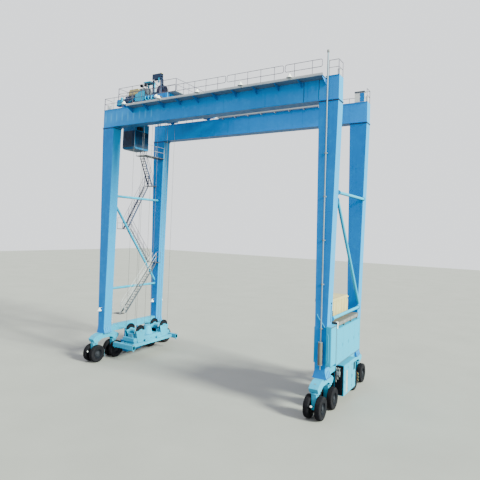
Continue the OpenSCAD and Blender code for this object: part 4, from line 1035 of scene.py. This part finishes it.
def cab_details():
    """Panes, frames, roof plate and unit, door, wipers, seat, desk and side boxes of the driver's cab."""
    x0, x1, y0, y1, z0, z1 = -11.0, -9.4, -1.55, 0.3, 19.3003, 21.8003
    low, high = z0 + 0.16, z0 + 1.72
    f = Form("cab", "black", "dark", "white", "pane")
    f.use("pane")
    f.row((x0 + 0.04, y0 - 0.008, low), (x0 + 0.533, y0 + 0.001, high), (0.507, 0, 0), 3, 0.003)
    for side, xx in ((-1, x0), (1, x1)):
        f.row((xx - side * 0.001, y0 + 0.04, low), (xx + side * 0.008, y0 + 0.616, high),
              (0, 0.59, 0), 3, 0.003)
    f.use("black")
    for xx in (x0 + 0.54, x0 + 1.047):
        f.box((xx - 0.016, y0 - 0.013, low), (xx + 0.016, y0 + 0.0195, high), 0.004)
    for side, xx in ((-1, x0), (1, x1)):
        for yy in (y0 + 0.623, y0 + 1.213):
            f.box((xx, yy - 0.016, low), (xx + side * 0.013, yy + 0.016, high), 0.004)
    f.row((x1, -1.35, z0 + 1.78), (x1 + 0.12, -1.01, z0 + 2.12), (0, 0.4, 0), 2, 0.012)
    f.use("cab")
    for zz in (low - 0.02, high + 0.02):
        f.box((x0 + 0.03, y0 - 0.012, zz - 0.02), (x1 - 0.03, y0 + 0.001, zz + 0.02), 0.005)
        for side, xx in ((-1, x0), (1, x1)):
            f.box((xx, y0 + 0.03, zz - 0.02), (xx + side * 0.012, y1 - 0.03, zz + 0.02), 0.005)
    f.box((x0 - 0.02, y0 - 0.06, z1 - 0.09), (x1 + 0.02, y1, z1 - 0.04), 0.015)
    f.box((x0 + 0.05, y0 - 0.012, high + 0.1), (x1 - 0.05, y0 + 0.001, z1 - 0.14), 0.01)
    f.use("black")
    for xx in (x0 + 0.3, x0 + 0.75, x1 - 0.4):
        f.tube([(xx, y0 - 0.014, high - 0.05), (xx + 0.06, y0 - 0.024, high - 0.4),
                (xx + 0.1, y0 - 0.02, high - 0.7)], 0.008, 8)
    fl, seat_x = z0 + 0.14, -10.2
    f.box((x0 + 0.1, -1.3, fl), (x1 - 0.1, -1.1, fl + 0.55), 0.02)
    for x in (seat_x - 0.42, seat_x + 0.42):
        f.box((x - 0.14, -0.9, fl), (x + 0.14, -0.25, fl + 0.62), 0.03)
        f.rod((x, -0.75, fl + 0.62), (x, -0.77, fl + 0.78), 0.014, 10)
        f.lathe([(0.0, 0.0), (0.024, 0.006), (0.03, 0.03), (0.02, 0.05), (0.0, 0.055)], (x, -0.77, fl + 0.77),
                UP, 16)
    f.use("dark")
    f.box((-10.44, -0.85, fl + 0.39), (-9.96, -0.35, fl + 0.52), 0.05)
    f.box((-10.43, -0.36, fl + 0.44), (-9.97, -0.24, fl + 1.19), 0.05)
    f.box((-10.32, -0.35, fl + 1.19), (-10.08, -0.25, fl + 1.34), 0.04)
    f.rod((seat_x, -0.6, fl), (seat_x, -0.6, fl + 0.4), 0.05)
    f.use("white")
    f.box((-10.3, -0.9, z1), (-9.85, -0.35, z1 + 0.28), 0.02)
    f.row((-10.28, -0.905, z1 + 0.04), (-9.87, -0.898, z1 + 0.055), (0, 0, 0.03), 7, 0.002)
    f.use("cab")
    f.box((x0 + 0.35, y1, z0 + 0.15), (x0 + 1.15, y1 + 0.012, z0 + 2.15), 0.006)
    f.box((x0 + 0.47, y1 + 0.012, z0 + 1.2), (x0 + 1.03, y1 + 0.016, z0 + 2.0), 0.002)
    f.use("black")
    f.tube([(x0 + 1.08, y1 + 0.012, z0 + 0.95), (x0 + 1.08, y1 + 0.05, z0 + 0.97),
            (x0 + 1.08, y1 + 0.05, z0 + 1.13), (x0 + 1.08, y1 + 0.012, z0 + 1.15)], 0.008, 8)
    piece("cab_fittings", f, "trolley")


def twistlock(f, at):
    """A twistlock: collar, shank and the pointed oblong head below it."""
    x, y, z = at
    f.lathe([(0.0, 0.18), (0.048, 0.18), (0.048, 0.075), (0.036, 0.068), (0.0, 0.068)], (x, y, z), UP, 28)
    f.rings([[(x + 0.046 * c * w, y + 0.028 * t * w, z + h) for c, t in round_steps(20)]
             for h, w in ((0.075, 0.9), (0.06, 1.0), (0.04, 1.0), (0.012, 0.45), (0.0, 0.2))])


def head_block():
    """Ribbed sheaves, their pins, and the tub and boxes on the head block."""
    f = Form("black", "bolt")
    half = [(0.0, 0.0695), (0.1, 0.0695), (0.1, 0.035), (0.13, 0.02), (0.42, 0.02), (0.44, 0.045),
            (0.505, 0.06), (0.52, 0.055), (0.52, 0.045), (0.492, 0.015)]
    outline = [(r, -a) for r, a in half] + [(0.488, 0.0)] + half[::-1]
    for sx, sy in CORNERS:
        x, y, z = at = (HOIST_X + sx * SHEAVE_X, sy * SHEAVE_Y, SHEAVE_Z)
        f.use("black")
        f.lathe(outline, at, (1, 0, 0), 64)
        for c, t in round_steps(8):
            f.rod((x, y + c * 0.1, z + t * 0.1), (x, y + c * 0.43, z + t * 0.43), 0.022, 8)
        f.use("bolt")
        f.lathe([(0.0, -0.13), (0.044, -0.13), (0.05, -0.124), (0.05, 0.124), (0.044, 0.13), (0.0, 0.13)], at,
                (1, 0, 0), 32)
        for s in (-1, 1):
            for dy in (0.085, -0.085):
                f.bolt((x + s * 0.111, y + dy, z), (s, 0, 0), 0.012, 0.010)
    piece("head_sheave_set", f, "spreader", ["head_sheaves"])
    f = Form("light", "bolt")
    for s in (-1, 1):
        for y in (-0.95, 0.95):
            f.prism([(y - 0.008, HEAD_BLOCK_TOP), (y + 0.008, HEAD_BLOCK_TOP), (y + 0.008, 2.25),
                     (y - 0.008, 2.25)], "x", HOIST_X + s * 0.02 - 0.3, HOIST_X + s * 0.02 + 0.3)
    f.lathe([(0.0, 0.0), (0.48, 0.0), (0.5, 0.02), (0.36, 0.52), (0.30, 0.72), (0.31, 0.74), (0.31, 0.77),
             (0.27, 0.77), (0.0, 0.75)], (HOIST_X, 0.0, HEAD_BLOCK_TOP), UP, 40)
    for y in (-2.2, 2.0):
        f.box((HOIST_X - 0.3, y, HEAD_BLOCK_TOP), (HOIST_X + 0.3, y + 0.28, 2.3), 0.015)
    f.use("bolt")
    for k in range(12):
        y = -2.35 + 0.427 * k
        for s in (-1, 1):
            f.bolt((HOIST_X + s * 0.7, y, 1.7), (s, 0, 0), 0.014, 0.012)
    for y in (-2.2, 2.0):
        f.row((HOIST_X - 0.25, y - 0.004, 2.0), (HOIST_X + 0.25, y + 0.002, 2.02), (0, 0, 0.05), 5, 0.002)
    piece("head_block_tub", f, "spreader")


def spreader_details():
    """Twistlocks, stiffeners and corner blocks of the end beams, and boxes and bolts of the frame."""
    for s, name in ((-1, "telescope_front"), (1, "telescope_rear")):
        f = Form("light", "bolt")
        y = s * LOCK_Y
        f.use("bolt")
        for sx in (-1, 1):
            x = HOIST_X + sx * LOCK_X
            twistlock(f, (x, y, 1.0))
            f.lathe([(0.0, 0.0), (0.085, 0.0), (0.085, 0.03), (0.06, 0.04), (0.0, 0.04)],
                    (x, y, 1.51), UP, 24)
            f.bolt_circle((x, y, 1.54), UP, 0.07, 6, 0.008, 0.006)
        f.use("light")
        f.row((HOIST_X - 0.908, y + s * 0.15, 1.13), (HOIST_X - 0.892, y + s * 0.162, SPREADER_TOP),
              (0.3, 0, 0), 7)
        for sx in (-1, 1):
            edge = HOIST_X + sx * 1.2
            f.box((edge - 0.07, y - 0.12, 1.16), (edge, y + 0.12, 1.47), 0.01)
        piece(f"{name}_fittings", f, name)
    f = Form("light", "bolt")
    f.box((HOIST_X - 0.45, -2.28, SPREADER_TOP), (HOIST_X + 0.45, -1.75, 1.63), 0.01)
    for y in (-1.1, 0.5):
        f.box((HOIST_X - 0.84, y, SPREADER_TOP), (HOIST_X - 0.64, y + 0.6, 1.78), 0.015)
        f.box((HOIST_X + 0.72, y, SPREADER_TOP), (HOIST_X + 0.84, y + 0.6, 1.7), 0.012)
    f.use("bolt")
    for y in (-2.6, -1.3, 0.0, 1.3, 2.6):
        for x in (-0.55, -0.3, 0.3, 0.55):
            f.bolt((HOIST_X + x, y - (0.03 if y > 0 else -0.03), 1.4863), UP, 0.012, 0.010)
    piece("spreader_fittings", f, "spreader")


RAIL_CLIPS = 33


def walkway_trim():
    """Toe boards and grating seams of the walkways, the rail clips, and the girder cabinet's doors."""
    f = Form("galvanised", "bolt")
    for s in (-1, 1):
        out = s * WALK_OUT
        f.use("galvanised")
        f.box((WALK_LEFT, out - s * 0.008, WALK_Z), (WALK_RIGHT[s], out, WALK_Z + 0.12), 0.002)
        pitch = (WALK_RIGHT[s] - WALK_LEFT) / 18
        x = WALK_LEFT + pitch
        f.row((x - 0.006, s * WALK_IN, WALK_Z), (x + 0.006, out - s * 0.01, WALK_Z + 0.003),
              (pitch, 0, 0), 17)
        f.use("bolt")
        for k in range(RAIL_CLIPS):
            x = -10.6 + k * 0.6625
            for side in (-1, 1):
                y = s * HALF_PITCH + side * 0.072
                f.box((x - 0.035, y - 0.022, GIRDER_TOP), (x + 0.035, y + 0.022, GIRDER_TOP + 0.032), 0.005)
                f.bolt((x, y, GIRDER_TOP + 0.032), UP, 0.011, 0.012)
    piece("walkway_trim", f, "portal")
    f = Form("blue", "white", "dark")
    x0, x1, y0, y1, z0, z1 = 10.1, 10.88, 2.995, 3.255, 22.5, 23.38
    f.use("blue")
    f.box((x0 + 0.43, y0 - 0.006, z0 + 0.04), (x1 - 0.01, y0 + 0.002, z1 - 0.14), 0.003)
    f.use("white")
    f.box((x0 + 0.01, y0 - 0.006, z0 + 0.04), (x0 + 0.41, y0 + 0.002, z1 - 0.14), 0.003)
    f.use("dark")
    f.box((x0 - 0.02, y0 - 0.03, z1 - 0.10), (x1 + 0.02, y1 + 0.02, z1 + 0.012), 0.006)
    for z in (z0 + 0.3, z0 + 0.6):
        f.pin(x0 + 0.42, y0 - 0.008, z, 0.04, 0.008)
    piece("girder_cabinet_doors", f, "portal")


def stair_rails():
    """The stair and landing handrails in round tube, as in the CAD node they replace, the higher ones mostly
    dark as painted shade.
    """
    f = Form("galvanised", "railing")
    leg_y = HALF_PITCH - 0.0003
    flights = [(-10.155, (-1.7, 3.9), (2.3, 8.4), 5), (-11.055, (2.3, 8.4), (-0.4, 11.7), 4),
               (-11.665, (-0.4, 11.7), (2.35, 16.2), 5), (-11.055, (2.35, 16.2), (0.95, 19.0), 4)]
    for x0, low, high, posts in flights:
        lift = TUBE_D * 0.45 * (high[1] - low[1]) / abs(high[0] - low[0])
        # Painted shade: rails of the upper flights take the dark railing steel, those of the lowest flight
        # light galvanised steel.
        f.use("galvanised" if low[1] < 8 else "railing")
        for x in (x0 + 0.015, x0 + 0.535):
            rail_panel(f, (x, low[0], low[1]), (x, high[0], high[1]), posts, 0.95 + lift, False, lift)
    inset = TUBE_D / 2
    a1, b0, c0 = -9.605 - inset, -11.055 + inset, -11.665 + inset
    runs = [(a1, -2.28, -1.76, 3.9), (a1, 2.36, leg_y - leg_half_depth(8.4) - 0.04, 8.4),
            (c0, -1.13, -0.46, 11.7), (c0, 2.41, leg_y - leg_half_depth(16.2) - 0.04, 16.2),
            (b0, 0.39, 0.89, 19.0), (a1, 0.39, leg_y - leg_half_depth(19.0) - 0.04, 19.0)]
    for x, y0, y1, z in runs:
        # Painted shade: landing rails between 8 m and 18 m up take the dark railing steel, the others light
        # galvanised steel.
        f.use("railing" if 8 < z < 18 else "galvanised")
        rail_panel(f, (x, y0, z), (x, y1, z), 3 if y1 - y0 > 1.5 else 2, foot_plate=False)
    piece("stair_rails_round", f, "portal", ["stair_handrails"])


def louvres(f, lo, hi, count, axis, face):
    """A bank of slanted louvre blades on a wall. axis is the wall's normal, face its place along it."""
    depth = 0.02
    for k in range(count):
        z = lo[1] + (hi[1] - lo[1]) * (k + 0.15) / count
        t = (hi[1] - lo[1]) / count * 0.55
        blade = [(face, z), (face + depth, z - t * 0.3), (face + depth, z + t * 0.3), (face, z + t)]
        f.prism(blade, "y" if axis == "x" else "x", lo[0], hi[0])


def electric_house():
    """Panels, door leaves, hinges, handles and louvres of the house, dark strips of painted shade in its
    gaps, along a cabinet's top and along its foot, and its roof units.
    """
    x, y0, y1, z0, z1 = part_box("electric_house")[1][0], -2.95, 2.5, 3.1, 5.5
    f = Form("light", "bolt", "dark")
    f.box((x - 0.012, y0 + 0.1, z0 + 0.07), (x - 0.004, y1 - 0.07, z1 - 0.07), 0.003)
    doors = 4
    pitch = (y1 - y0 - 0.3) / doors
    f.row((x - 0.004, y0 + 0.18, z0 + 0.12), (x, y0 + 0.12 + pitch, z1 - 0.12), (0, pitch, 0), doors, 0.002)
    f.box((x - 0.03, y0 + 0.05, z1 - 0.03), (x + 0.005, y1 - 0.03, z1 + 0.005), 0.004)
    for y, count in ((y0 - 0.012, 3), (y1, 4)):
        f.row((x - 1.55, y, z0 + 0.1), (x - 1.2, y + 0.012, z1 - 0.1), (0.39, 0, 0), count, 0.004)
    f.box((x - 0.002, y0 - 1.04, z0 + 0.26), (x + 0.004, y0 - 0.12, z1 + 0.24), 0.002)
    f.box((x - 0.31, y0 - 1.112, z0 + 0.26), (x - 0.03, y0 - 1.1, z1 + 0.27), 0.004)
    f.row((x - 1.612, y0 + 0.1, z0 + 0.1), (x - 1.6, y0 + 0.7, z1 - 0.1), (0, 0.675, 0), 8, 0.004)
    f.use("bolt")
    for k in range(doors):
        a = y0 + 0.15 + k * pitch
        for z in (z0 + 0.35, z0 + 1.15, z1 - 0.35):
            f.pin(x - 0.003, a + 0.045, z, 0.05, 0.009)
        f.box((x - 0.004, a + pitch - 0.16, z0 + 1.05), (x, a + pitch - 0.1, z0 + 1.3), 0.002)
    # Painted shade: dark strips in the gap between the leg's cabinet and the house, along the top of that
    # cabinet, and along the house's foot.
    f.use("dark")
    f.box((x - 0.001, y0 - 0.11, z0 + 0.2), (x + 0.006, y0 + 0.01, z1 + 0.33), 0.002)
    f.box((x - 0.001, y0 - 1.1, z1 + 0.255), (x + 0.006, y0 - 0.11, z1 + 0.325), 0.002)
    f.box((x - 0.001, y0 + 0.01, z0 + 0.005), (x + 0.0055, y1 - 0.02, z0 + 0.05), 0.002)
    for k in range(2):
        louvres(f, (x - 1.45 + 0.8 * k, z0 + 1.5), (x - 0.85 + 0.8 * k, z0 + 2.2), 12, "y", y1 + 0.01)
    piece("house_panels", f, "portal")

    f = Form("cream", "black", "bolt", "dark", "white", "beige")
    bx0, bx1, by0, by1, bz0, bz1 = 9.53, 10.5, -2.88, 1.22, 5.5, 7.35

    def side(over, low):
        return [(by0 - over, low), (by1 + over, low), (by1 + over, max(low, bz1 - 0.35)),
                (by1 + over - 0.35, bz1 + over), (by0 - over, bz1 + over)]

    f.prism(side(0.0, bz0), "x", bx0, bx1)
    f.prism(side(0.04, bz1 - 0.16), "x", bx0 - 0.04, bx1 + 0.04)
    low, high = bz0 + 0.05, bz1 - 0.18
    for xx in (bx0, bx1):
        f.row((xx - 0.016, by0 + 0.2, low), (xx + 0.016, by0 + 0.24, high), (0, 0.6, 0), 7, 0.004)
    f.row((bx0 + 0.15, by0 - 0.016, low), (bx0 + 0.19, by0 + 0.002, high), (0.31, 0, 0), 3, 0.004)
    f.use("black")
    louvres(f, (by0 + 0.30, bz0 + 0.25), (by0 + 0.76, bz0 + 1.1), 12, "x", bx1)
    cx0, cx1, cy0, cy1 = x - 0.56, x - 0.06, -2.65, 2.15
    f.use("beige")
    f.box((cx0, cy0 + 0.22, 5.65), (cx1, cy1, 5.915), 0.01)
    f.box((cx0 - 0.02, cy0 + 0.2, 5.9), (cx1 + 0.02, cy1 + 0.02, 5.93), 0.006)
    for px in (cx0 + 0.04, cx0 + 0.36):
        f.row((px, cy0 + 0.06, 5.5), (px + 0.1, cy0 + 0.16, 5.66), (0, 4.58 / 3, 0), 4, 0.006)
    f.use("bolt")
    for k in range(5):
        a = cy0 + 0.36 + 0.86 * k
        f.box((cx1 - 0.002, a, 5.7), (cx1 + 0.006, a + 0.7, 5.88), 0.003)
        f.row((cx1 + 0.004, a + 0.02, 5.715), (cx1 + 0.014, a + 0.68, 5.73), (0, 0, 0.04), 4, 0.003)
    f.use("dark")
    f.box((cx0, cy0, 5.65), (cx1, cy0 + 0.2, 5.93), 0.01)
    f.use("white")
    f.box((cx1 - 0.14, cy0 + 0.005, 5.5), (cx1 + 0.005, cy0 + 0.14, 5.96), 0.01)
    piece("roof_unit_set", f, "portal", ["roof_units"])


def cabinets():
    """Doors, louvres, hinges, window and pipes of the power cabinet, and the side cabinet's tube frame."""
    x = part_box("power_cabinet")[1][0]
    f = Form("light", "grey", "black")
    f.row((x - 0.002, -1.33, 0.70), (x + 0.012, -0.47, 2.68), (0, 0.9, 0), 3, 0.006)
    # Side panels: black on the −Y side, standing for the dark machinery there and painting the shade that
    # side stands in, light blue on the +Y side.
    for s in (-1, 1):
        a, b = s * 1.358, s * 1.37
        f.use("black" if s < 0 else "light")
        f.box((9.82, a, 0.7), (10.45, b, 2.3), 0.005)
        f.box((10.5, a, 0.7), (x - 0.05, b, 2.7), 0.005)
    f.use("grey")
    for k in range(3):
        px, foot = 10.62 + 0.12 * k, 1.55 + 0.2 * k
        f.tube([(px, -1.372, 2.55), (px, -1.43, 2.5), (px, -1.43, foot + 0.05), (px, -1.372, foot)], 0.022)
    f.box((10.66, -1.47, 2.05), (10.9, -1.40, 2.3), 0.012)
    f.box((x + 0.010, -0.88, 0.78), (x + 0.016, -0.5, 2.3), 0.003)
    f.row((x + 0.014, -0.86, 0.82), (x + 0.022, -0.52, 0.838), (0, 0, 0.043), 34, 0.002)
    f.use("black")
    f.box((x + 0.010, 0.82, 1.95), (x + 0.016, 1.2, 2.5), 0.003)
    for y in (-1.3, -0.5, -0.4, 0.4, 0.5, 1.3):
        for z in (0.95, 1.7, 2.45):
            f.pin(x + 0.012, y, z, 0.05, 0.008)
    for y in (-1.27, 0.36, 0.6):
        f.box((x + 0.010, y, 1.5), (x + 0.02, y + 0.035, 1.68), 0.004)
    for s in (-1, 1):
        f.row((10.6, s * 1.37 - 0.008, 1.0), (11.0, s * 1.37 + 0.008, 1.03), (0, 0, 0.06), 14, 0.004)
    piece("power_cabinet_doors", f, "portal")

    f = Form("light", "blue", "black")
    x0, x1, y0, y1, z0, z1 = -10.7, -9.85, -1.0, 0.9, 0.15, 1.2
    for xx in (x0, x1):
        for zz in (z0 + 0.02, z1 - 0.02):
            f.rod((xx, y0, zz), (xx, y1, zz), 0.022, 12)
        for yy in (y0, y1):
            f.rod((xx, yy, z0 + 0.02), (xx, yy, z1 - 0.02), 0.022, 12)
    for yy in (y0, y1):
        for zz in (z0 + 0.02, z1 - 0.02):
            f.rod((x0, yy, zz), (x1, yy, zz), 0.022, 12)
    f.use("blue")
    for near, far in ((x1 - 0.002, x1 + 0.01), (x0 - 0.01, x0 + 0.002)):
        f.row((near, -0.9, z0 + 0.1), (far, -0.1, z1 - 0.1), (0, 0.9, 0), 2, 0.006)
    f.use("black")
    for y in (-0.2, 0.7):
        f.box((x1 + 0.008, y, 0.6), (x1 + 0.02, y + 0.03, 0.76), 0.004)
    f.row((x1 + 0.008, -0.75, 0.75), (x1 + 0.016, -0.35, 0.765), (0, 0, 0.035), 8, 0.002)
    piece("side_cabinet_frame", f, "portal")


def collar(f, at, inner, outer, half, slope, sides=28):
    """A ring round an upright pipe, half its height up and down from at, its outer edges sloped."""
    f.lathe([(inner, -half), (outer, slope - half), (outer, half - slope), (inner, half)], at, UP, sides,
            ring=True)


def mast_details():
    """Clamps, couplings, cap and cylinder sleeve of the mast pipe, and the bent conduit beside it."""
    f = Form("pipe", "bolt", "beige", "light")
    x, y, out = 10.38, -4.02, -4.072
    for z in (5.6, 8.5, 11.4, 14.3, 17.2):
        f.use("bolt")
        collar(f, (x, y, z + 0.045), 0.05, 0.064, 0.045, 0.005)
        for s in (-1, 1):
            f.bolt((x + s * 0.078, y - 0.001, z + 0.045), (0, -1, 0), 0.010, 0.010)
    f.use("pipe")
    for z in (7.0, 13.0, 19.0):
        collar(f, (x, y, z), 0.05, 0.058, 0.06, 0.005)
    for z in (3.32, 4.78):
        collar(f, (x, y - 0.04, z), 0.15, 0.158, 0.012, 0.002, 36)
    f.use("beige")
    f.lathe([(0.149, 0.0), (0.153, 0.0), (0.153, 1.44), (0.149, 1.44)], (x, y - 0.04, 3.33), UP, 36,
            ring=True)
    f.use("bolt")
    f.lathe([(0.08, 0.0), (0.084, 0.004), (0.084, 0.15), (0.07, 0.16), (0.0, 0.16)], (x, y, 24.05), UP, 28)
    f.use("light")
    face = -HALF_PITCH - 0.455
    f.tube([(10.05, face, 6.55), (10.08, face, 6.43), (10.66, face, 5.66), (10.76, face - 0.04, 5.5),
            (10.87, out, 5.36), (10.92, out - 0.002, 5.2), (10.94, out, 3.7), (10.915, out, 3.56),
            (10.86, out, 3.56), (10.835, out, 3.68), (10.83, out, 4.1)], 0.018)
    piece("mast_fittings", f, "portal")


def floodlight(f, x, y, z, out, rise=0.0):
    """A bell reflector with its glass, and the arm it stands on, which reaches out along Y to it."""
    f.use("white")
    top = z + rise
    f.lathe([(0.21, -0.25), (0.203, -0.245), (0.075, -0.05), (0.07, 0.0), (0.05, 0.015), (0.0, 0.015),
             (0.0, 0.0), (0.05, -0.02), (0.06, -0.05), (0.19, -0.245)][::-1], (x, y, top), UP, 32)
    f.use("lamp")
    f.lathe([(0.0, -0.232), (0.186, -0.232), (0.184, -0.226), (0.0, -0.22)], (x, y, top), UP, 32)
    f.use("galvanised")
    f.tube([(x, y - out * 0.26, z), (x, y, top)], 0.025, 12)
    f.box((x - 0.04, y - out * 0.26, z - 0.03), (x + 0.04, y - out * 0.25, z + 0.03), 0.003)


def floodlights():
    """Five floodlights along the front walkway and three on the left legs."""
    f = Form("white", "lamp", "galvanised")
    arm, pitch = 0.26, 3.875
    for k in range(5):
        floodlight(f, WALK_LEFT + 0.05 + pitch * k, -(WALK_OUT + arm + 0.0003), WALK_Z - 0.03, -1, 0.29)
    z = 4.6
    reach = leg_half_depth(z) + arm
    for y, out in ((-HALF_PITCH - reach, -1), (HALF_PITCH - reach, -1), (HALF_PITCH + reach, 1)):
        floodlight(f, -HALF_SPAN, y, z, out)
    piece("floodlight_set", f, "portal", ["floodlights"])


def structure_details():
    """Bogie stiffeners and caps, brace collars, sill bolts and ribs, and a slot and fitting on a leg."""
    f = Form("light", "bolt", "navy")
    for sx, sy in CORNERS:
        x, y = sx * HALF_SPAN, sy * HALF_PITCH
        for k in (-1, 1):
            f.use("light")
            for dx in (-0.31, 0.31):
                f.prism([(y + k * 0.62, 2.05), (y + k * 0.95, 1.85), (y + k * 0.95, 1.72),
                         (y + k * 0.5, 1.93)], "x", x + dx - 0.008, x + dx + 0.008)
            f.use("bolt")
            f.lathe([(0.0, 0.0), (0.13, 0.0), (0.13, 0.02), (0.11, 0.035), (0.0, 0.035)],
                    (x, y + k * WHEEL_Y, 2.19), UP, 28)
            f.bolt_circle((x, y + k * WHEEL_Y, 2.225), UP, 0.085, 6, 0.010, 0.008)
    f.use("light")
    for sx in (-1, 1):
        for y, z in ((-1, 14.7), (1, 14.7), (-1, 6.2), (1, 6.2)):
            x = -10.35 if sx < 0 else leg_outer_x(z)
            end = y * (HALF_PITCH - leg_half_depth(z))
            f.lathe([(0.11, 0.0), (0.165, 0.0), (0.165, 0.014), (0.125, 0.02), (0.11, 0.03)], (x, end, z),
                    (0, -y, 0), 32, ring=True)
            for c, t in round_steps(4, 0.5):
                f.bolt((x + c * 0.145, end - y * 0.014, z + t * 0.145), (0, -y, 0), 0.011, 0.009)
        for s in (-1, 1):
            f.use("bolt")
            for k in range(3):
                for side in (-1, 1):
                    f.bolt((sx * HALF_SPAN + side * 0.2, s * 2.95, 2.45 + 0.17 * k), (side, 0, 0),
                           0.014, 0.06)
            f.use("light")
            for side in (-1, 1):
                f.box((sx * HALF_SPAN + side * 0.25, s * 2.82, 2.36),
                      (sx * HALF_SPAN + side * 0.262, s * 3.004, 2.89), 0.003)
    for y in (-2.6, -1.5, -0.4, 0.7, 1.8, 2.7):
        for x in (-10.556, -10.05):
            f.box((x, y - 0.006, 2.36), (x + 0.006, y + 0.006, 2.89), 0.002)
    f.use("navy")
    for a, b in ((7.1, 6.55), (6.55, 6.0)):
        f.add([(leg_outer_x(z) + d, -HALF_PITCH + 0.15 + e, z)
               for z in (a, b) for d in (-0.002, 0.006) for e in (0.0, 0.1)], BOX_FACES)
    x, y, z = leg_outer_x(7.25), -HALF_PITCH + 0.18, 7.25
    f.rod((x - 0.005, y, z), (x + 0.03, y, z), 0.07, 18)
    piece("structure_fittings", f, "portal")


def trolley_details():
    """Wheel discs, travel drive, stiffeners and pipes of the trolley trucks, dark plates of painted shade on
    a truck and on the deck, and a lamp.
    """
    f = Form("blue", "bolt", "black", "light", "navy")
    x0, x1 = TROLLEY_X
    axle_z = 22.9203
    for s in (-1, 1):
        y = s * HALF_PITCH
        for x in (x0 + 0.7, x1 - 0.7):
            for side in (-1, 1):
                f.use("bolt")
                f.lathe([(0.0, 0.0), (0.16, 0.0), (0.17, 0.01), (0.17, 0.03), (0.1, 0.045), (0.1, 0.06),
                         (0.0, 0.06)], (x, y + side * TRUCK_HALF_W, axle_z), (0, side, 0), 28)
                f.bolt_circle((x, y + side * 0.21, axle_z), (0, side, 0), 0.135, 8, 0.010, 0.008)
        f.use("blue")
        for k in range(9):
            x = x0 + 0.2 + k * 0.6875
            low = 22.80 if x < x0 + 1.25 or x > x1 - 1.25 else 23.13
            for side in (-1, 1):
                f.box((x - 0.006, y + side * TRUCK_HALF_W, low), (x + 0.006, y + side * 0.192, 23.345))
        f.use("black")
        for x in (x0, x1):
            f.rod((x - 0.001, y, 23.1), (x + 0.009 * (1 if x < -8 else -1), y, 23.1), 0.11, 20)
    y = -HALF_PITCH - TRUCK_HALF_W
    f.use("light")
    f.prism([(x0 + 0.30, 22.82), (x0 + 0.82, 22.82), (x0 + 0.82, 23.02), (x0 + 0.62, 23.2),
             (x0 + 0.40, 23.14), (x0 + 0.30, 23.0)], "y", y - 0.16, y + 0.01)
    motor(f, (x0 + 0.72, y - 0.10, 23.05), UP, 0.12, 0.42, "light", "bolt")
    f.tube([(x0 + 0.3, y - 0.06, 22.95), (x0 + 0.12, y - 0.06, 22.93), (x0 + 0.04, y - 0.06, 22.85)],
           0.045, 12)
    for k in range(3):
        x = -6.3 + 0.36 * k
        f.tube([(x, y - 0.05, 23.3), (x, y - 0.09, 23.05 - 0.06 * k), (x + 0.16, y - 0.11, 22.9),
                (x + 0.34, y - 0.1, 22.88)], 0.05, 12)
    f.prism([(-7.5, 22.95), (-6.45, 22.95), (-6.45, 23.78), (-6.6, 23.88), (-7.5, 23.56)], "y", y - 0.076,
            y - 0.061)
    f.tube([(-8.3, y - 0.03, 22.95), (-7.6, y - 0.03, 23.3)], 0.022)
    # Painted shade: two navy plates, on the front truck's face and on the deck in front of the gearbox, stand
    # in for the shadow under the hoist machinery.
    f.use("navy")
    f.box((-9.15, y - 0.014, 22.93), (-7.7, y + 0.002, 23.33), 0.005)
    f.box((-9.1, -3.3, DECK_TOP), (-7.6, -3.18, DECK_TOP + 0.3), 0.01)
    piece("trolley_fittings", f, "trolley")
    f = Form("white", "lamp", "dark")
    x = -5.0
    f.use("white")
    f.lathe([(0.0, -0.02), (0.17, -0.02), (0.19, 0.0), (0.08, 0.2), (0.06, 0.24), (0.0, 0.25)],
            (x, -HALF_PITCH - 0.34, 23.0), (0, 0.25, 1), 28)
    f.use("lamp")
    f.lathe([(0.0, -0.028), (0.165, -0.026), (0.168, -0.018), (0.0, -0.018)], (x, -HALF_PITCH - 0.34, 23.0),
            (0, 0.25, 1), 28)
    f.use("dark")
    f.tube([(x, -HALF_PITCH - TRUCK_HALF_W, 23.25), (x, -HALF_PITCH - 0.29, 23.22)], 0.02)
    piece("trolley_lamps", f, "trolley")


def lights_and_floor():
    """Pale sky light all round, a soft sun from +X, and a plain floor."""
    world = bpy.data.worlds.new("studio")
    bpy.context.scene.world = world
    world.use_nodes = True
    back = world.node_tree.nodes["Background"]
    back.inputs["Color"].default_value = (0.94, 0.97, 1.0, 1)
    back.inputs["Strength"].default_value = 1.6
    sun = bpy.data.lights.new("key", "SUN")
    sun.energy = 17.0
    sun.angle = math.radians(14)
    sun.color = (0.90, 0.99, 0.80)
    key = bpy.data.objects.new("key", sun)
    toward = Vector((0.86, -0.03, 0.48))
    key.rotation_euler = toward.to_track_quat("Z", "Y").to_euler()
    bpy.context.scene.collection.objects.link(key)
    mesh = bpy.data.meshes.new("floor")
    r = 160
    mesh.from_pydata([(-r, -r, -0.002), (r, -r, -0.002), (r, r, -0.002), (-r, r, -0.002)], [], [(0, 1, 2, 3)])
    floor = bpy.data.objects.new("floor", mesh)
    s = Shader("floor_finish", roughness=0.9)
    mesh.materials.append(s.finish(s.mix(s.ramp(s.noise(0.2, 3.0), 0.3, 0.7), (0.215, 0.215, 0.21),
                                         (0.235, 0.235, 0.23))))
    bpy.context.scene.collection.objects.link(floor)


for make in (paint_frame, wheels, yoke_details, handrails, stair_rails, joint_bolts, weld_seams, walkway_trim,
             structure_details, electric_house, cabinets, mast_details, floodlights, trolley_details,
             hoist_machinery, cable_reel, cab_details, hoist_ropes, head_block, spreader_details,
             lights_and_floor):
    make()
